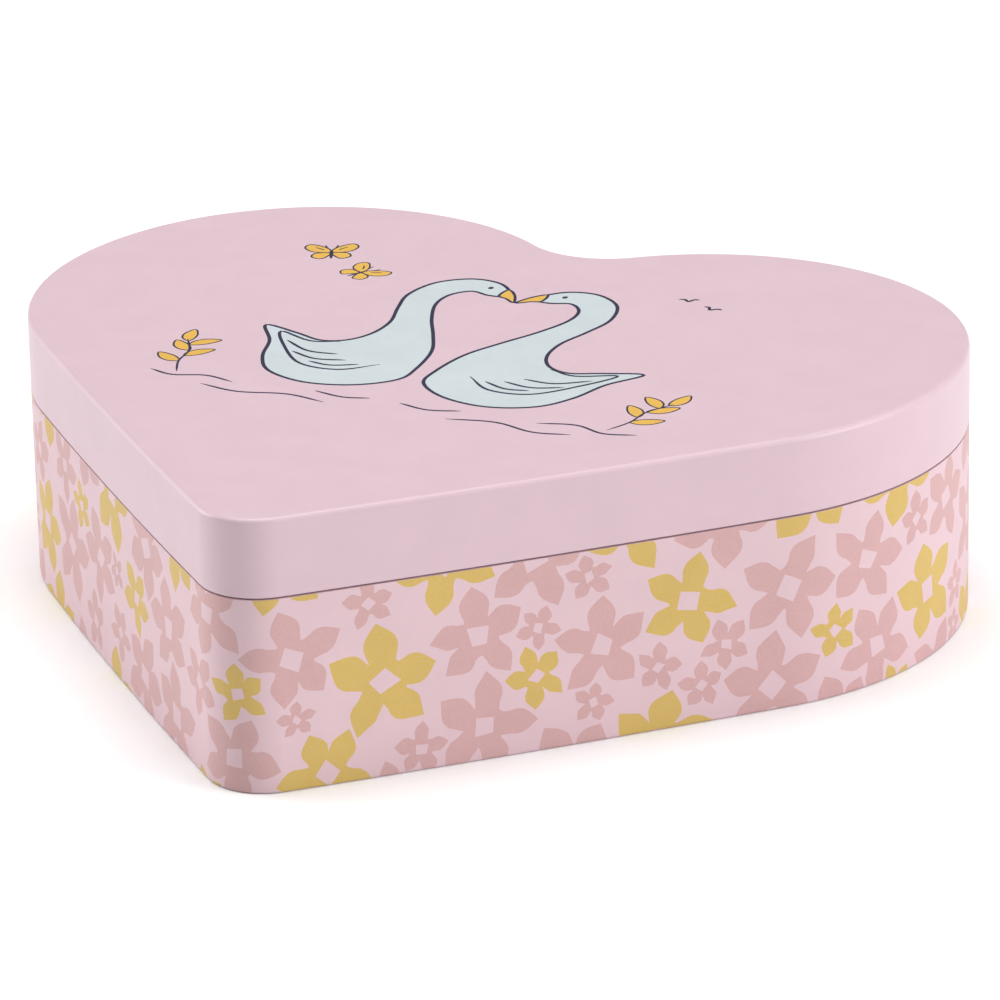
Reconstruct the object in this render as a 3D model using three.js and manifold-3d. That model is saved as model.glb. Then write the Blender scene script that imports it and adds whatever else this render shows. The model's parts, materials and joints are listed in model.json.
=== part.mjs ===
// A heart-shaped wind-up music box: a printed board base, a plain hinged lid with a mirror inside, a
// platform over a pinned-cylinder movement, and a small butterfly that turns on a spring stem.
// Millimetres, +Z up, the heart's tip towards -Y, the origin under the middle of the whole box, hinges
// included.
import * as THREE from "three";
import { mergeVertices } from "three/addons/utils/BufferGeometryUtils.js";
import Module from "manifold-3d";

const wasm = await Module();
wasm.setup();

const degrees = THREE.MathUtils.degToRad;
const { cos, sin, PI, sqrt } = Math;

// ---- Driving dimensions ----

// The heart outline, half of it: cleft arc, rear lobe arc, fuller cheek arc, near-straight side, tip arc.
const HEART = {
  lobeX: 40.1,
  lobeR: 49.2,
  cheekR: 57.4,
  cheekFrom: degrees(24),
  sideR: 1900,
  sideFrom: degrees(-43.5),
  tipR: 11,
  cleftR: 16.5,
};
const HEIGHT = 51;
const SEAM = 36.2; // top of the base wall
const SEAM_GAP = 0.3; // dark line between base and lid
const WALL = 3.5;
const PANEL = 3; // lid panel and floor board
const EDGE_R = 1; // softened outer edges
const RECESS = 9; // room for the key under the floor
const FIT = 0.15; // clearance round a board dropped in between walls
const LINING = 0.8;
const PAD = 3;
const MIRROR = { thick: 1.8, scale: 0.6 };
const DIVIDER = { thick: 3, top: 30, y: -16 };

const FLOOR_TOP = RECESS + PANEL;
const LID_BOTTOM = SEAM + SEAM_GAP;
const LID_PANEL_Z = HEIGHT - PANEL;
const LID_LINING_Z = LID_PANEL_Z - LINING;
const LINING_INSET = WALL + FIT;

// Platform over the movement.
const COVER = { x: 36, front: -22.5, back: 26.5, wall: 1.6, top: 34.8, thick: 2 };

// The movement. Its heights start from the top of the floor board.
const BEDPLATE = { thick: 1.2, x0: -23.6, x1: 33, y0: -19.6, y1: 24.2 };
const BED_TOP = FLOOR_TOP + BEDPLATE.thick;
const HOUSING = { r: 11.6, h: 5.8, wall: 0.8 };
const MESH_PLAY = 0.1; // added to each gear pair's centre distance
const GREAT = { teeth: 36, module: 0.7, faceR: 10.8, thick: 1.2, faceTooth: 1.2 };
const FACE_MODULE = (2 * GREAT.faceR) / GREAT.teeth;
const FACE_PITCH_H = 0.7; // pitch plane of the face teeth, above the wheel
const WHEEL_Z = FLOOR_TOP + 7.6;
const SPINDLE_GEAR = { teeth: 18, module: 0.7 };
const PINION_TEETH = 12;
const DRUM = { r: 6, length: 19, wall: 0.7, pin: 0.5, rows: 18 };
const DRUM_GEAR = { teeth: 24, module: 0.5, thick: 1.5 };
const GOVERNOR = { pinionTeeth: 8, wheelTeeth: 14, module: 0.6, drop: degrees(-10) };
const WORM = { r: 1.2, starts: 2, core: 0.62, crest: 1.62, length: 6.4 };
const FAN = { half: 3.5, z0: 15, z1: 19, thick: 0.3 };
const COMB = { thick: 0.8, clear: 0.15, tooth: 6, depth: 6, pitchShare: 0.7 };

// The spindle stands on the box's centre line, one gear mesh away from the great wheel.
const SPINDLE = { x: 0, y: 17 };
const SPINDLE_DIRECTION = degrees(60);
const SPINDLE_REACH =
  (GREAT.module * (GREAT.teeth + SPINDLE_GEAR.teeth)) / 2 + MESH_PLAY;
const WHEEL = {
  x: SPINDLE.x - SPINDLE_REACH * cos(SPINDLE_DIRECTION),
  y: SPINDLE.y - SPINDLE_REACH * sin(SPINDLE_DIRECTION),
};
const PINION_R = (FACE_MODULE * PINION_TEETH) / 2;
const DRUM_Z = WHEEL_Z + GREAT.thick + FACE_PITCH_H + PINION_R;
const DRUM_X = WHEEL.x + 15.4;
const DRUM_END = DRUM_X + DRUM.length;
const GOVERNOR_REACH =
  (DRUM_GEAR.module * (DRUM_GEAR.teeth + GOVERNOR.pinionTeeth)) / 2 + MESH_PLAY;
const SHAFT = {
  y: WHEEL.y + GOVERNOR_REACH * cos(GOVERNOR.drop),
  z: DRUM_Z + GOVERNOR_REACH * sin(GOVERNOR.drop),
};
const WORM_WHEEL = { x: DRUM_END + 3.9, thick: 0.6 };
const WORM_WHEEL_R = (GOVERNOR.module * GOVERNOR.wheelTeeth) / 2;
const WORM_AT = {
  x: WORM_WHEEL.x + WORM_WHEEL.thick / 2,
  y: SHAFT.y + WORM_WHEEL_R + WORM.r + MESH_PLAY,
};
const STOP = { x: WORM_AT.x, y: WORM_AT.y + FAN.half + 0.95, r: 0.6, top: 45.1 };

// Hinges, one behind each lobe. The lid turns about their pins.
const HINGE = {
  x: HEART.lobeX,
  width: 12,
  barrelR: 1.6,
  pinR: 0.7,
  leaf: 0.6,
  drop: 9, // from the pin's axis to a leaf's far end
  hole: 6.2, // from the pin's axis to the screws
  holeX: 3.5,
  seat: 0.5, // depth of the flat cut into the wall under each leaf
  stand: 0.3, // from the wall to the barrel
};
const HINGE_REACH = HINGE.stand + 2 * HINGE.barrelR;
const HINGE_SCREW = { headR: 1.3, headH: 0.7, shankR: 0.6, length: 3.2 };

// The figure lies forward under the closed lid, its spring bent a quarter turn.
const SPRING = { coilR: 1.3, wireR: 0.25, bendR: 4.5, turns: 6 };
const SPINDLE_TOP = 36.2;
const BUTTERFLY = { stem: 3, body: 13, bodyR: 1, span: 26, wing: 0.6, dihedral: degrees(12) };

// ---- Materials ----

const finish = (color, roughness, metalness = 0) =>
  new THREE.MeshStandardMaterial({ color, roughness, metalness });
const pinkPaper = finish(0xe8cdd7, 0.6);
const printedPaper = finish(0xe3bfc4, 0.65);
const board = finish(0xb9a78e, 0.9);
const velvet = finish(0xd9a6b4, 0.95);
const silver = finish(0xe6ebee, 0.05, 1);
const steel = finish(0xc2c4c8, 0.35, 1);
const brass = finish(0xcaa75a, 0.3, 1);
const castZinc = finish(0x9d9fa3, 0.5, 0.9);
const whitePlastic = finish(0xf0ece4, 0.45);
const wingPlastic = finish(0xe0bb54, 0.4);

// ---- Outlines ----

const polar = (r, angle, from = { x: 0, y: 0 }) =>
  new THREE.Vector2(from.x + r * cos(angle), from.y + r * sin(angle));

// The heart's arcs at a distance inside its outer face, counter-clockwise. Every call gives the same
// number of points, so two outlines can be joined point by point.
function heart(inset = 0) {
  const { lobeX, lobeR, cheekR, cheekFrom, sideR, sideFrom, tipR, cleftR } = HEART;
  const lobe = new THREE.Vector2(lobeX, 0);
  const cheek = polar(lobeR - cheekR, cheekFrom, lobe);
  const side = polar(cheekR - sideR, sideFrom, cheek);
  const tip = new THREE.Vector2(0, side.y - sqrt((sideR - tipR) ** 2 - side.x ** 2));
  const cleft = new THREE.Vector2(0, sqrt((lobeR + cleftR) ** 2 - lobeX ** 2));
  const cleftTo = lobe.clone().sub(cleft).angle();
  const sideTo = tip.clone().sub(side).angle();
  const arcs = [
    [tip, tipR - inset, 1.5 * PI, sideTo, 6],
    [side, sideR - inset, sideTo, sideFrom + 2 * PI, 2],
    [cheek, cheekR - inset, sideFrom, cheekFrom, 10],
    [lobe, lobeR - inset, cheekFrom, cleftTo - PI, 16],
    [cleft, cleftR + inset, cleftTo, 1.5 * PI, 5],
  ];
  const half = arcs.flatMap(([centre, r, from, to, steps]) =>
    Array.from({ length: steps }, (_, k) => polar(r, from + ((to - from) * k) / steps, centre)),
  );
  const notch = new THREE.Vector2(0, cleft.y - cleftR - inset);
  const mirrored = half.slice(1).reverse().map((p) => new THREE.Vector2(-p.x, p.y));
  const middle = (lobeR + HINGE_REACH + tip.y - tipR) / 2;
  return [...half, notch, ...mirrored].map((p) => new THREE.Vector2(p.x, p.y - middle));
}

const LOBE_BACK = Math.max(...heart().map((p) => p.y));
const HINGE_AXIS = {
  y: LOBE_BACK + HINGE.stand + HINGE.barrelR,
  z: SEAM + SEAM_GAP / 2,
};

// A gear outline with slim trapezoid teeth; `phase` is the angle of one tooth's middle.
function gearOutline(teeth, module, phase = 0) {
  const pitchR = (teeth * module) / 2;
  const step = (2 * PI) / teeth;
  const root = pitchR - 1.1 * module;
  const crest = pitchR + 0.8 * module;
  return Array.from({ length: teeth }, (_, k) => phase + k * step).flatMap((middle) => [
    polar(root, middle - 0.25 * step),
    polar(crest, middle - 0.1 * step),
    polar(crest, middle + 0.1 * step),
    polar(root, middle + 0.25 * step),
  ]);
}

// ---- Solids ----

function geometryOf(positions, index) {
  const geometry = new THREE.BufferGeometry();
  geometry.setAttribute("position", new THREE.Float32BufferAttribute(positions, 3));
  geometry.setIndex(index);
  geometry.computeVertexNormals();
  return geometry;
}

const loopAt = (outline, z) => outline.map((p) => [p.x, p.y, z]);

// Triangles that join each loop of points to the next.
function sleeve(loops, closed) {
  const n = loops[0].length;
  const bands = closed ? loops.length : loops.length - 1;
  const index = [];
  for (let band = 0; band < bands; band++)
    for (let i = 0; i < n; i++) {
      const a = band * n + i;
      const b = band * n + ((i + 1) % n);
      const c = ((band + 1) % loops.length) * n + i;
      const d = ((band + 1) % loops.length) * n + ((i + 1) % n);
      index.push(a, b, d, a, d, c);
    }
  return index;
}

// A solid through loops of points stacked from the bottom up, closed flat at both ends.
function stack(loops) {
  const index = sleeve(loops, false);
  const flat = (loop) => loop.map(([x, y]) => new THREE.Vector2(x, y));
  const top = (loops.length - 1) * loops[0].length;
  for (const [a, b, c] of THREE.ShapeUtils.triangulateShape(flat(loops[0]), []))
    index.push(c, b, a);
  for (const [a, b, c] of THREE.ShapeUtils.triangulateShape(flat(loops.at(-1)), []))
    index.push(a + top, b + top, c + top);
  return geometryOf(loops.flat(2), index);
}

const heartSolid = (rings) => stack(rings.map(([inset, z]) => loopAt(heart(inset), z)));

// A ring that follows the heart outline, from a section of [inset, z] corners: clockwise, with the
// inset to the right and z up.
function heartRing(section) {
  const loops = section.map(([inset, z]) => loopAt(heart(inset), z));
  return geometryOf(loops.flat(2), sleeve(loops, true));
}

function extrude(points, depth, z = 0, holes = []) {
  const shape = new THREE.Shape(points);
  for (const { r, x = 0, y = 0 } of holes)
    shape.holes.push(new THREE.Path().absarc(x, y, r, 0, 2 * PI, true));
  const options = { depth, bevelEnabled: false, curveSegments: 10 };
  return new THREE.ExtrudeGeometry(shape, options).translate(0, 0, z);
}

function box(x0, x1, y0, y1, z0, z1) {
  const geometry = new THREE.BoxGeometry(x1 - x0, y1 - y0, z1 - z0);
  return geometry.translate((x0 + x1) / 2, (y0 + y1) / 2, (z0 + z1) / 2);
}

// A round bar standing on (x, y), from one height to another.
function post(r, z0, z1, { x = 0, y = 0, sides = 16 } = {}) {
  const geometry = new THREE.CylinderGeometry(r, r, z1 - z0, sides).rotateX(PI / 2);
  return geometry.translate(x, y, (z0 + z1) / 2);
}

// A turned piece about Z from a closed, counter-clockwise section of [radius, z] corners.
function turned(section, sides = 28) {
  const points = [...section, section[0]].map(([r, z]) => new THREE.Vector2(r, z));
  return new THREE.LatheGeometry(points, sides).rotateX(PI / 2);
}

// Lays a piece made along +Z down along +X: its X then points along Y and its Y along Z.
function alongX(geometry, y, z) {
  const turn = new THREE.Matrix4().set(0, 0, 1, 0, 1, 0, 0, 0, 0, 1, 0, 0, 0, 0, 0, 1);
  return geometry.applyMatrix4(turn).translate(0, y, z);
}

function solidOf(geometry) {
  const bare = geometry.clone();
  for (const name of Object.keys(bare.attributes))
    if (name !== "position") bare.deleteAttribute(name);
  const merged = mergeVertices(bare, 1e-4);
  const corners = [];
  for (let i = 0; i < merged.index.count; i += 3) {
    const triangle = [0, 1, 2].map((k) => merged.index.getX(i + k));
    if (new Set(triangle).size === 3) corners.push(...triangle);
  }
  return new wasm.Manifold(
    new wasm.Mesh({
      numProp: 3,
      vertProperties: new Float32Array(merged.attributes.position.array),
      triVerts: new Uint32Array(corners),
    }),
  );
}

function geometryFrom(solid) {
  const mesh = solid.getMesh();
  return geometryOf([...mesh.vertProperties], [...mesh.triVerts]);
}

// The first geometry with others joined to it, cut out of it, or keeping only what lies in `within`.
function shaped(first, { add = [], cut = [], within = [] } = {}) {
  let solid = solidOf(first);
  for (const geometry of add) solid = solid.add(solidOf(geometry));
  for (const geometry of cut) solid = solid.subtract(solidOf(geometry));
  for (const geometry of within) solid = solid.intersect(solidOf(geometry));
  return geometryFrom(solid);
}

function piece(group, name, geometry, material) {
  const mesh = new THREE.Mesh(geometry, material);
  mesh.name = name;
  group.add(mesh);
}

// A slotted screw standing on (x, y): `up` is +1 when its head is at the top.
function screw({ x, y, head, headR, headH, shankR, length, up = 1 }) {
  const slot = box(-headR, headR, -0.25, 0.25, headH * 0.55, headH + 1);
  const made = shaped(post(headR, 0, headH), {
    add: [post(shankR, -length, 0.1, { sides: 12 })],
    cut: [slot],
  });
  if (up < 0) made.rotateX(PI);
  return made.translate(x, y, head);
}

// ---- Base ----

const BED_SCREWS = [
  { x: -20, y: -16 },
  { x: -20, y: 20 },
  { x: 30, y: -16 },
];

// What a hinge leaf takes out of the wall behind each lobe: a flat seat and two screw holes.
function hingeCuts(z0, z1, holeZ) {
  const seatY = LOBE_BACK - HINGE.seat;
  const half = HINGE.width / 2 + 0.3;
  const hole = () => post(0.9, -1, 2.7, { sides: 10 }).rotateX(PI / 2);
  return [-HINGE.x, HINGE.x].flatMap((x) => [
    box(x - half, x + half, seatY, LOBE_BACK + 5, z0, z1),
    hole().translate(x - HINGE.holeX, seatY, holeZ),
    hole().translate(x + HINGE.holeX, seatY, holeZ),
  ]);
}

const baseOutline = [
  [0, EDGE_R * 0.6],
  [0, SEAM - 0.3],
  [0.3, SEAM],
  [WALL, SEAM],
  [WALL, 0],
  [EDGE_R * 0.6, 0],
];

function buildBase(group) {
  const { z } = HINGE_AXIS;
  const cut = hingeCuts(z - HINGE.drop - 0.3, z, z - HINGE.hole);
  piece(group, "base_wall", shaped(heartRing(baseOutline), { cut }), printedPaper);

  const floor = heartSolid([
    [WALL + FIT, RECESS],
    [WALL + FIT, FLOOR_TOP],
  ]);
  const holes = BED_SCREWS.map((at) => post(1.4, 0, 20, { ...at, sides: 12 }));
  const keyHole = post(2.6, 0, 20, WHEEL);
  piece(group, "base_floor", shaped(floor, { cut: [...holes, keyHole] }), board);

  const lining = heartRing([
    [LINING_INSET, FLOOR_TOP],
    [LINING_INSET, SEAM - 0.6],
    [LINING_INSET + LINING, SEAM - 0.6],
    [LINING_INSET + LINING, FLOOR_TOP],
  ]);
  piece(group, "base_lining", lining, velvet);
}

const DIVIDERS = {
  divider_left: [-90, -COVER.x, DIVIDER.y - DIVIDER.thick, DIVIDER.y],
  divider_right: [COVER.x, 90, DIVIDER.y - DIVIDER.thick, DIVIDER.y],
  divider_rear: [-DIVIDER.thick / 2, DIVIDER.thick / 2, COVER.back, 90],
};

function buildCompartments(group) {
  const insideLining = (inset) =>
    heartSolid([
      [LINING_INSET + LINING + inset, 0],
      [LINING_INSET + LINING + inset, HEIGHT],
    ]);
  for (const [name, [x0, x1, y0, y1]] of Object.entries(DIVIDERS)) {
    const wall = box(x0, x1, y0, y1, FLOOR_TOP, DIVIDER.top);
    piece(group, name, shaped(wall, { within: [insideLining(FIT)] }), velvet);
  }
  const gap = 0.5;
  const top = FLOOR_TOP + PAD;
  const cut = Object.values(DIVIDERS).map(([x0, x1, y0, y1]) =>
    box(x0 - gap, x1 + gap, y0 - gap, y1 + gap, 0, HEIGHT),
  );
  cut.push(box(-COVER.x - gap, COVER.x + gap, COVER.front - gap, COVER.back + gap, 0, HEIGHT));
  const middle = DIVIDER.y - DIVIDER.thick / 2;
  const regions = {
    pad_left: box(-90, 0, middle, 90, FLOOR_TOP, top),
    pad_right: box(0, 90, middle, 90, FLOOR_TOP, top),
    pad_front: box(-90, 90, -90, middle, FLOOR_TOP, top),
  };
  for (const [name, region] of Object.entries(regions))
    piece(group, name, shaped(region, { within: [insideLining(gap)], cut }), velvet);
}

function buildPlatform(group) {
  const { x, front, back, wall, top, thick } = COVER;
  const shell = shaped(box(-x, x, front, back, FLOOR_TOP, top), {
    cut: [
      box(-x + wall, x - wall, front + wall, back - wall, 0, top - thick),
      post(2.6, 0, HEIGHT, SPINDLE),
      post(STOP.r + 0.35, 0, HEIGHT, { x: STOP.x, y: STOP.y, sides: 12 }),
    ],
  });
  piece(group, "platform", shell, velvet);
}

// ---- Lid ----

function buildLid(group) {
  const { z: hingeZ } = HINGE_AXIS;
  const rim = heartRing([
    [0, LID_BOTTOM + 0.3],
    [0, LID_PANEL_Z],
    [WALL, LID_PANEL_Z],
    [WALL, LID_BOTTOM],
    [0.3, LID_BOTTOM],
  ]);
  const seats = hingeCuts(hingeZ, hingeZ + HINGE.drop + 0.3, hingeZ + HINGE.hole);
  piece(group, "lid_rim", shaped(rim, { cut: seats }), pinkPaper);

  const edge = [0, 30, 60, 90].map(degrees).map((a) => [
    EDGE_R * (1 - cos(a)),
    HEIGHT - EDGE_R * (1 - sin(a)),
  ]);
  piece(group, "lid_panel", heartSolid([[0, LID_PANEL_Z], ...edge]), pinkPaper);

  const lining = shaped(
    heartSolid([
      [LINING_INSET, LID_BOTTOM + 0.4],
      [LINING_INSET, LID_PANEL_Z],
    ]),
    {
      cut: [
        heartSolid([
          [LINING_INSET + LINING, 0],
          [LINING_INSET + LINING, LID_LINING_Z],
        ]),
      ],
    },
  );
  piece(group, "lid_lining", lining, velvet);

  const glass = heart().map((p) => p.clone().multiplyScalar(MIRROR.scale));
  const z = LID_LINING_Z - MIRROR.thick;
  piece(group, "mirror", stack([loopAt(glass, z), loopAt(glass, LID_LINING_Z)]), silver);
}

// ---- Hinges ----

// One leaf. `side` is +1 for the lid's and -1 for the base's; `spans` are its knuckles along X.
function hingeLeaf(side, spans) {
  const { y, z } = HINGE_AXIS;
  const { width, barrelR, pinR, leaf, drop } = HINGE;
  const seat = LOBE_BACK - HINGE.seat;
  const sorted = (a, b) => [Math.min(a, b), Math.max(a, b)];
  const plate = box(-width / 2, width / 2, seat, seat + leaf,
    ...sorted(z + side * (barrelR - leaf), z + side * drop));
  const lugs = spans.flatMap(([x0, x1]) => [
    box(x0, x1, seat, y, ...sorted(z + side * (barrelR - leaf), z + side * barrelR)),
    alongX(post(barrelR, x0, x1, { sides: 18 }), y, z),
  ]);
  const holes = [-HINGE.holeX, HINGE.holeX].map((x) =>
    post(0.9, -3, 3, { sides: 10 }).rotateX(PI / 2).translate(x, seat, z + side * HINGE.hole),
  );
  const bore = alongX(post(pinR + 0.3, -width, width, { sides: 14 }), y, z);
  return shaped(plate, { add: lugs, cut: [bore, ...holes] });
}

function buildHinges(group) {
  const third = HINGE.width / 6;
  const outer = [
    [-HINGE.width / 2, -third - 0.15],
    [third + 0.15, HINGE.width / 2],
  ];
  const inner = [[-third + 0.15, third - 0.15]];
  for (const [hand, x] of [["left", -HINGE.x], ["right", HINGE.x]]) {
    piece(group, `hinge_${hand}_base_leaf`, hingeLeaf(-1, outer).translate(x, 0, 0), brass);
    piece(group, `hinge_${hand}_lid_leaf`, hingeLeaf(1, inner).translate(x, 0, 0), brass);
    const pin = alongX(
      post(HINGE.pinR, -HINGE.width / 2 - 0.4, HINGE.width / 2 + 0.4, { sides: 12 }),
      HINGE_AXIS.y,
      HINGE_AXIS.z,
    );
    piece(group, `hinge_${hand}_pin`, pin.translate(x, 0, 0), brass);
    for (const [part, side] of [["base", -1], ["lid", 1]])
      for (const [number, dx] of [[1, -HINGE.holeX], [2, HINGE.holeX]]) {
        const made = screw({ x: 0, y: 0, head: 0, ...HINGE_SCREW }).rotateX(-PI / 2);
        made.translate(x + dx, LOBE_BACK - HINGE.seat + HINGE.leaf,
          HINGE_AXIS.z + side * HINGE.hole);
        piece(group, `hinge_${hand}_${part}_screw_${number}`, made, brass);
      }
  }
}

// ---- Movement ----

function buildBedplate(group) {
  const { x0, x1, y0, y1, thick } = BEDPLATE;
  const cut = BED_SCREWS.map((at) => post(1.4, 0, 20, { ...at, sides: 12 }));
  cut.push(post(2.2, 0, 20, WHEEL));
  cut.push(post(0.8, 0, 20, { ...WORM_AT, sides: 12 }));
  const plate = shaped(box(x0, x1, y0, y1, FLOOR_TOP, FLOOR_TOP + thick), { cut });
  piece(group, "bedplate", plate, castZinc);
  for (const [number, at] of BED_SCREWS.entries()) {
    const made = screw({
      ...at,
      head: RECESS,
      headR: 2.6,
      headH: 1.4,
      shankR: 1.1,
      length: 5,
      up: -1,
    });
    piece(group, `bedplate_screw_${number + 1}`, made, steel);
  }
}

// A flat strip wound into a spiral inside the housing.
function buildMainspring(group) {
  const turns = 5;
  const steps = turns * 16;
  const [inner, outer, half] = [3.2, 10.1, 0.2];
  const edge = (offset) =>
    Array.from({ length: steps + 1 }, (_, k) =>
      polar(inner + ((outer - inner) * k) / steps + offset, (turns * 2 * PI * k) / steps),
    );
  const outline = [...edge(-half), ...edge(half).reverse()];
  const strip = extrude(outline.reverse(), 4, BED_TOP + 1.2);
  piece(group, "mainspring", strip.translate(WHEEL.x, WHEEL.y, 0), steel);
}

function buildDrive(group) {
  const { r, h, wall } = HOUSING;
  const housing = turned([
    [2.2, 0],
    [r, 0],
    [r, h],
    [r - wall, h],
    [r - wall, wall],
    [2.2, wall],
  ]);
  piece(group, "spring_housing", housing.translate(WHEEL.x, WHEEL.y, BED_TOP), castZinc);
  buildMainspring(group);

  const rimHoles = [{ r: 1.8 }];
  const rim = extrude(gearOutline(GREAT.teeth, GREAT.module), GREAT.thick, 0, rimHoles);
  const step = (2 * PI) / GREAT.teeth;
  const add = Array.from({ length: GREAT.teeth }, (_, k) =>
    box(GREAT.faceR - 1, GREAT.faceR + 1, -0.22, 0.22, GREAT.thick - 0.2,
      GREAT.thick + GREAT.faceTooth).rotateZ((k + 0.5) * step),
  );
  const wheel = shaped(rim, { add });
  piece(group, "great_wheel", wheel.translate(WHEEL.x, WHEEL.y, WHEEL_Z), brass);

  const arbor = shaped(post(1.5, BED_TOP + 0.4, WHEEL_Z + 2.6), {
    add: [post(1, RECESS - 1.1, BED_TOP + 1)],
  });
  piece(group, "winding_arbor", arbor.translate(WHEEL.x, WHEEL.y, 0), steel);
}

// A butterfly key: a flat bow with two finger loops, and a tubular stem on the arbor.
function buildKey(group) {
  const half = new THREE.Shape();
  half.moveTo(0, 0.8);
  half.lineTo(6, 0);
  half.absarc(8, 3.2, 3.2, -0.5 * PI, 0.5 * PI, false);
  half.lineTo(0, 5.6);
  const loop = new THREE.Path().absarc(7.4, 3.2, 1.7, 0, 2 * PI, true);
  half.holes.push(loop);
  const options = { depth: 1.4, bevelEnabled: false, curveSegments: 10 };
  const wing = () => new THREE.ExtrudeGeometry(half, options).translate(0, 0, -0.7);
  const bow = shaped(wing().rotateX(PI / 2), { add: [wing().rotateX(PI / 2).rotateZ(PI)] });
  const key = shaped(bow.translate(0, 0, 1.2), {
    add: [post(2, 5, 10.8)],
    cut: [post(1.3, 7.6, 12, { sides: 14 })],
  });
  piece(group, "winding_key", key.translate(WHEEL.x, WHEEL.y, 0), brass);
}

function buildCylinder(group) {
  const { r, length, wall, pin, rows } = DRUM;
  const tube = turned([
    [1.1, 0],
    [r, 0],
    [r, length],
    [1.1, length],
    [1.1, length - 1],
    [r - wall, length - 1],
    [r - wall, 1],
    [1.1, 1],
  ], 24);
  // Each row sounds one tooth. The gaps between its notes vary from row to row.
  const rowPitch = (length - 1) / rows;
  const pins = Array.from({ length: rows }, (_, row) => row).flatMap((row) => {
    const notes = 2 + (row % 3);
    return Array.from({ length: notes }, (_, note) => {
      const angle = (2 * PI * (note + 0.37 * row)) / notes + 0.4 * sin(5 * row);
      const at = 0.5 + (row + 0.5) * rowPitch;
      return box(r - 0.3, r + pin, -0.17, 0.17, at - 0.17, at + 0.17).rotateZ(angle);
    });
  });
  const drum = alongX(shaped(tube, { add: pins }), WHEEL.y, DRUM_Z);
  piece(group, "cylinder", drum.translate(DRUM_X, 0, 0), brass);

  const arbor = shaped(post(0.8, 9.4, DRUM_END - WHEEL.x + 3.6, { sides: 14 }), {
    add: [extrude(gearOutline(PINION_TEETH, FACE_MODULE), 2, GREAT.faceR - 1)],
  });
  const arborAt = alongX(arbor, WHEEL.y, DRUM_Z).translate(WHEEL.x, 0, 0);
  piece(group, "cylinder_arbor", arborAt, steel);

  const outline = gearOutline(DRUM_GEAR.teeth, DRUM_GEAR.module, GOVERNOR.drop);
  const gear = extrude(outline, DRUM_GEAR.thick, 0, [{ r: 1.1 }]);
  const gearAt = alongX(gear, WHEEL.y, DRUM_Z).translate(DRUM_END, 0, 0);
  piece(group, "cylinder_gear", gearAt, brass);
}

// Upright plates that carry the cylinder's arbor, the governor's shaft and the worm's top pivot.
function buildBrackets(group) {
  const bearing = (r, y, z) => alongX(post(r, -50, 50, { sides: 14 }), y, z);
  const drumBearing = bearing(1.1, WHEEL.y, DRUM_Z);
  const shaftBearing = bearing(0.9, SHAFT.y, SHAFT.z);
  const nearX = WHEEL.x + 13.5;
  const near = shaped(box(nearX, nearX + 1, WHEEL.y - 3, WHEEL.y + 3, BED_TOP, DRUM_Z + 2), {
    add: [box(nearX, nearX + 5, WHEEL.y - 3, WHEEL.y + 3, BED_TOP, BED_TOP + 1)],
    cut: [drumBearing],
  });
  piece(group, "cylinder_bracket_inner", near, castZinc);

  const farX = DRUM_END + DRUM_GEAR.thick + 0.7;
  const plate = box(farX, farX + 1.2, WHEEL.y - 3, SHAFT.y + 1.7, BED_TOP, DRUM_Z + 2);
  piece(group, "cylinder_bracket_outer",
    shaped(plate, { cut: [drumBearing, shaftBearing] }), castZinc);

  const outX = WORM_WHEEL.x + WORM_WHEEL.thick + 1.2;
  const armZ = SHAFT.z + WORM_WHEEL_R + 1.1;
  const outPlate = box(outX, outX + 1, WHEEL.y - 3, SHAFT.y + 1.7, BED_TOP, armZ + 1.2);
  const arm = box(WORM_AT.x - 1.4, outX + 1, SHAFT.y - 2, STOP.y + 2, armZ, armZ + 1.2);
  const pivots = [
    post(0.8, 20, 40, { ...WORM_AT, sides: 12 }),
    post(STOP.r + 0.3, 20, 40, { x: STOP.x, y: STOP.y, sides: 12 }),
  ];
  piece(group, "governor_bracket",
    shaped(outPlate, { add: [arm], cut: [shaftBearing, ...pivots] }), castZinc);
}

function buildComb(group) {
  const tipY = WHEEL.y - DRUM.r - DRUM.pin - COMB.clear;
  const rootY = tipY - COMB.tooth;
  const backY = rootY - COMB.depth;
  const { thick, pitchShare } = COMB;
  const [x0, x1] = [DRUM_X, DRUM_END];
  const pitch = (DRUM.length - 1) / DRUM.rows;
  const half = (pitch * pitchShare) / 2;
  const teeth = Array.from({ length: DRUM.rows }, (_, k) => x0 + 0.5 + (k + 0.5) * pitch)
    .reverse()
    .flatMap((x) => [
      new THREE.Vector2(x + half, rootY),
      new THREE.Vector2(x + half, tipY),
      new THREE.Vector2(x - half, tipY),
      new THREE.Vector2(x - half, rootY),
    ]);
  const back = [
    new THREE.Vector2(x0, rootY),
    new THREE.Vector2(x0, backY),
    new THREE.Vector2(x1, backY),
    new THREE.Vector2(x1, rootY),
  ];
  const screwsAt = [x0 + 4, x1 - 4].map((x) => ({ x, y: rootY - COMB.depth / 2 }));
  const holes = screwsAt.map((at) => ({ ...at, r: 1.4 }));
  const z = DRUM_Z - thick / 2;
  piece(group, "comb", extrude([...back, ...teeth], thick, z, holes), steel);

  const anvil = box(x0, x1, backY, rootY - 0.4, BED_TOP, z);
  const drill = screwsAt.map((at) => post(1.4, 17, 40, { ...at, sides: 12 }));
  piece(group, "comb_base", shaped(anvil, { cut: drill }), castZinc);
  for (const [number, at] of screwsAt.entries()) {
    const made = screw({
      ...at,
      head: z + thick,
      headR: 2,
      headH: 1.1,
      shankR: 1.1,
      length: 5,
    });
    piece(group, `comb_screw_${number + 1}`, made, steel);
  }
}

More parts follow.
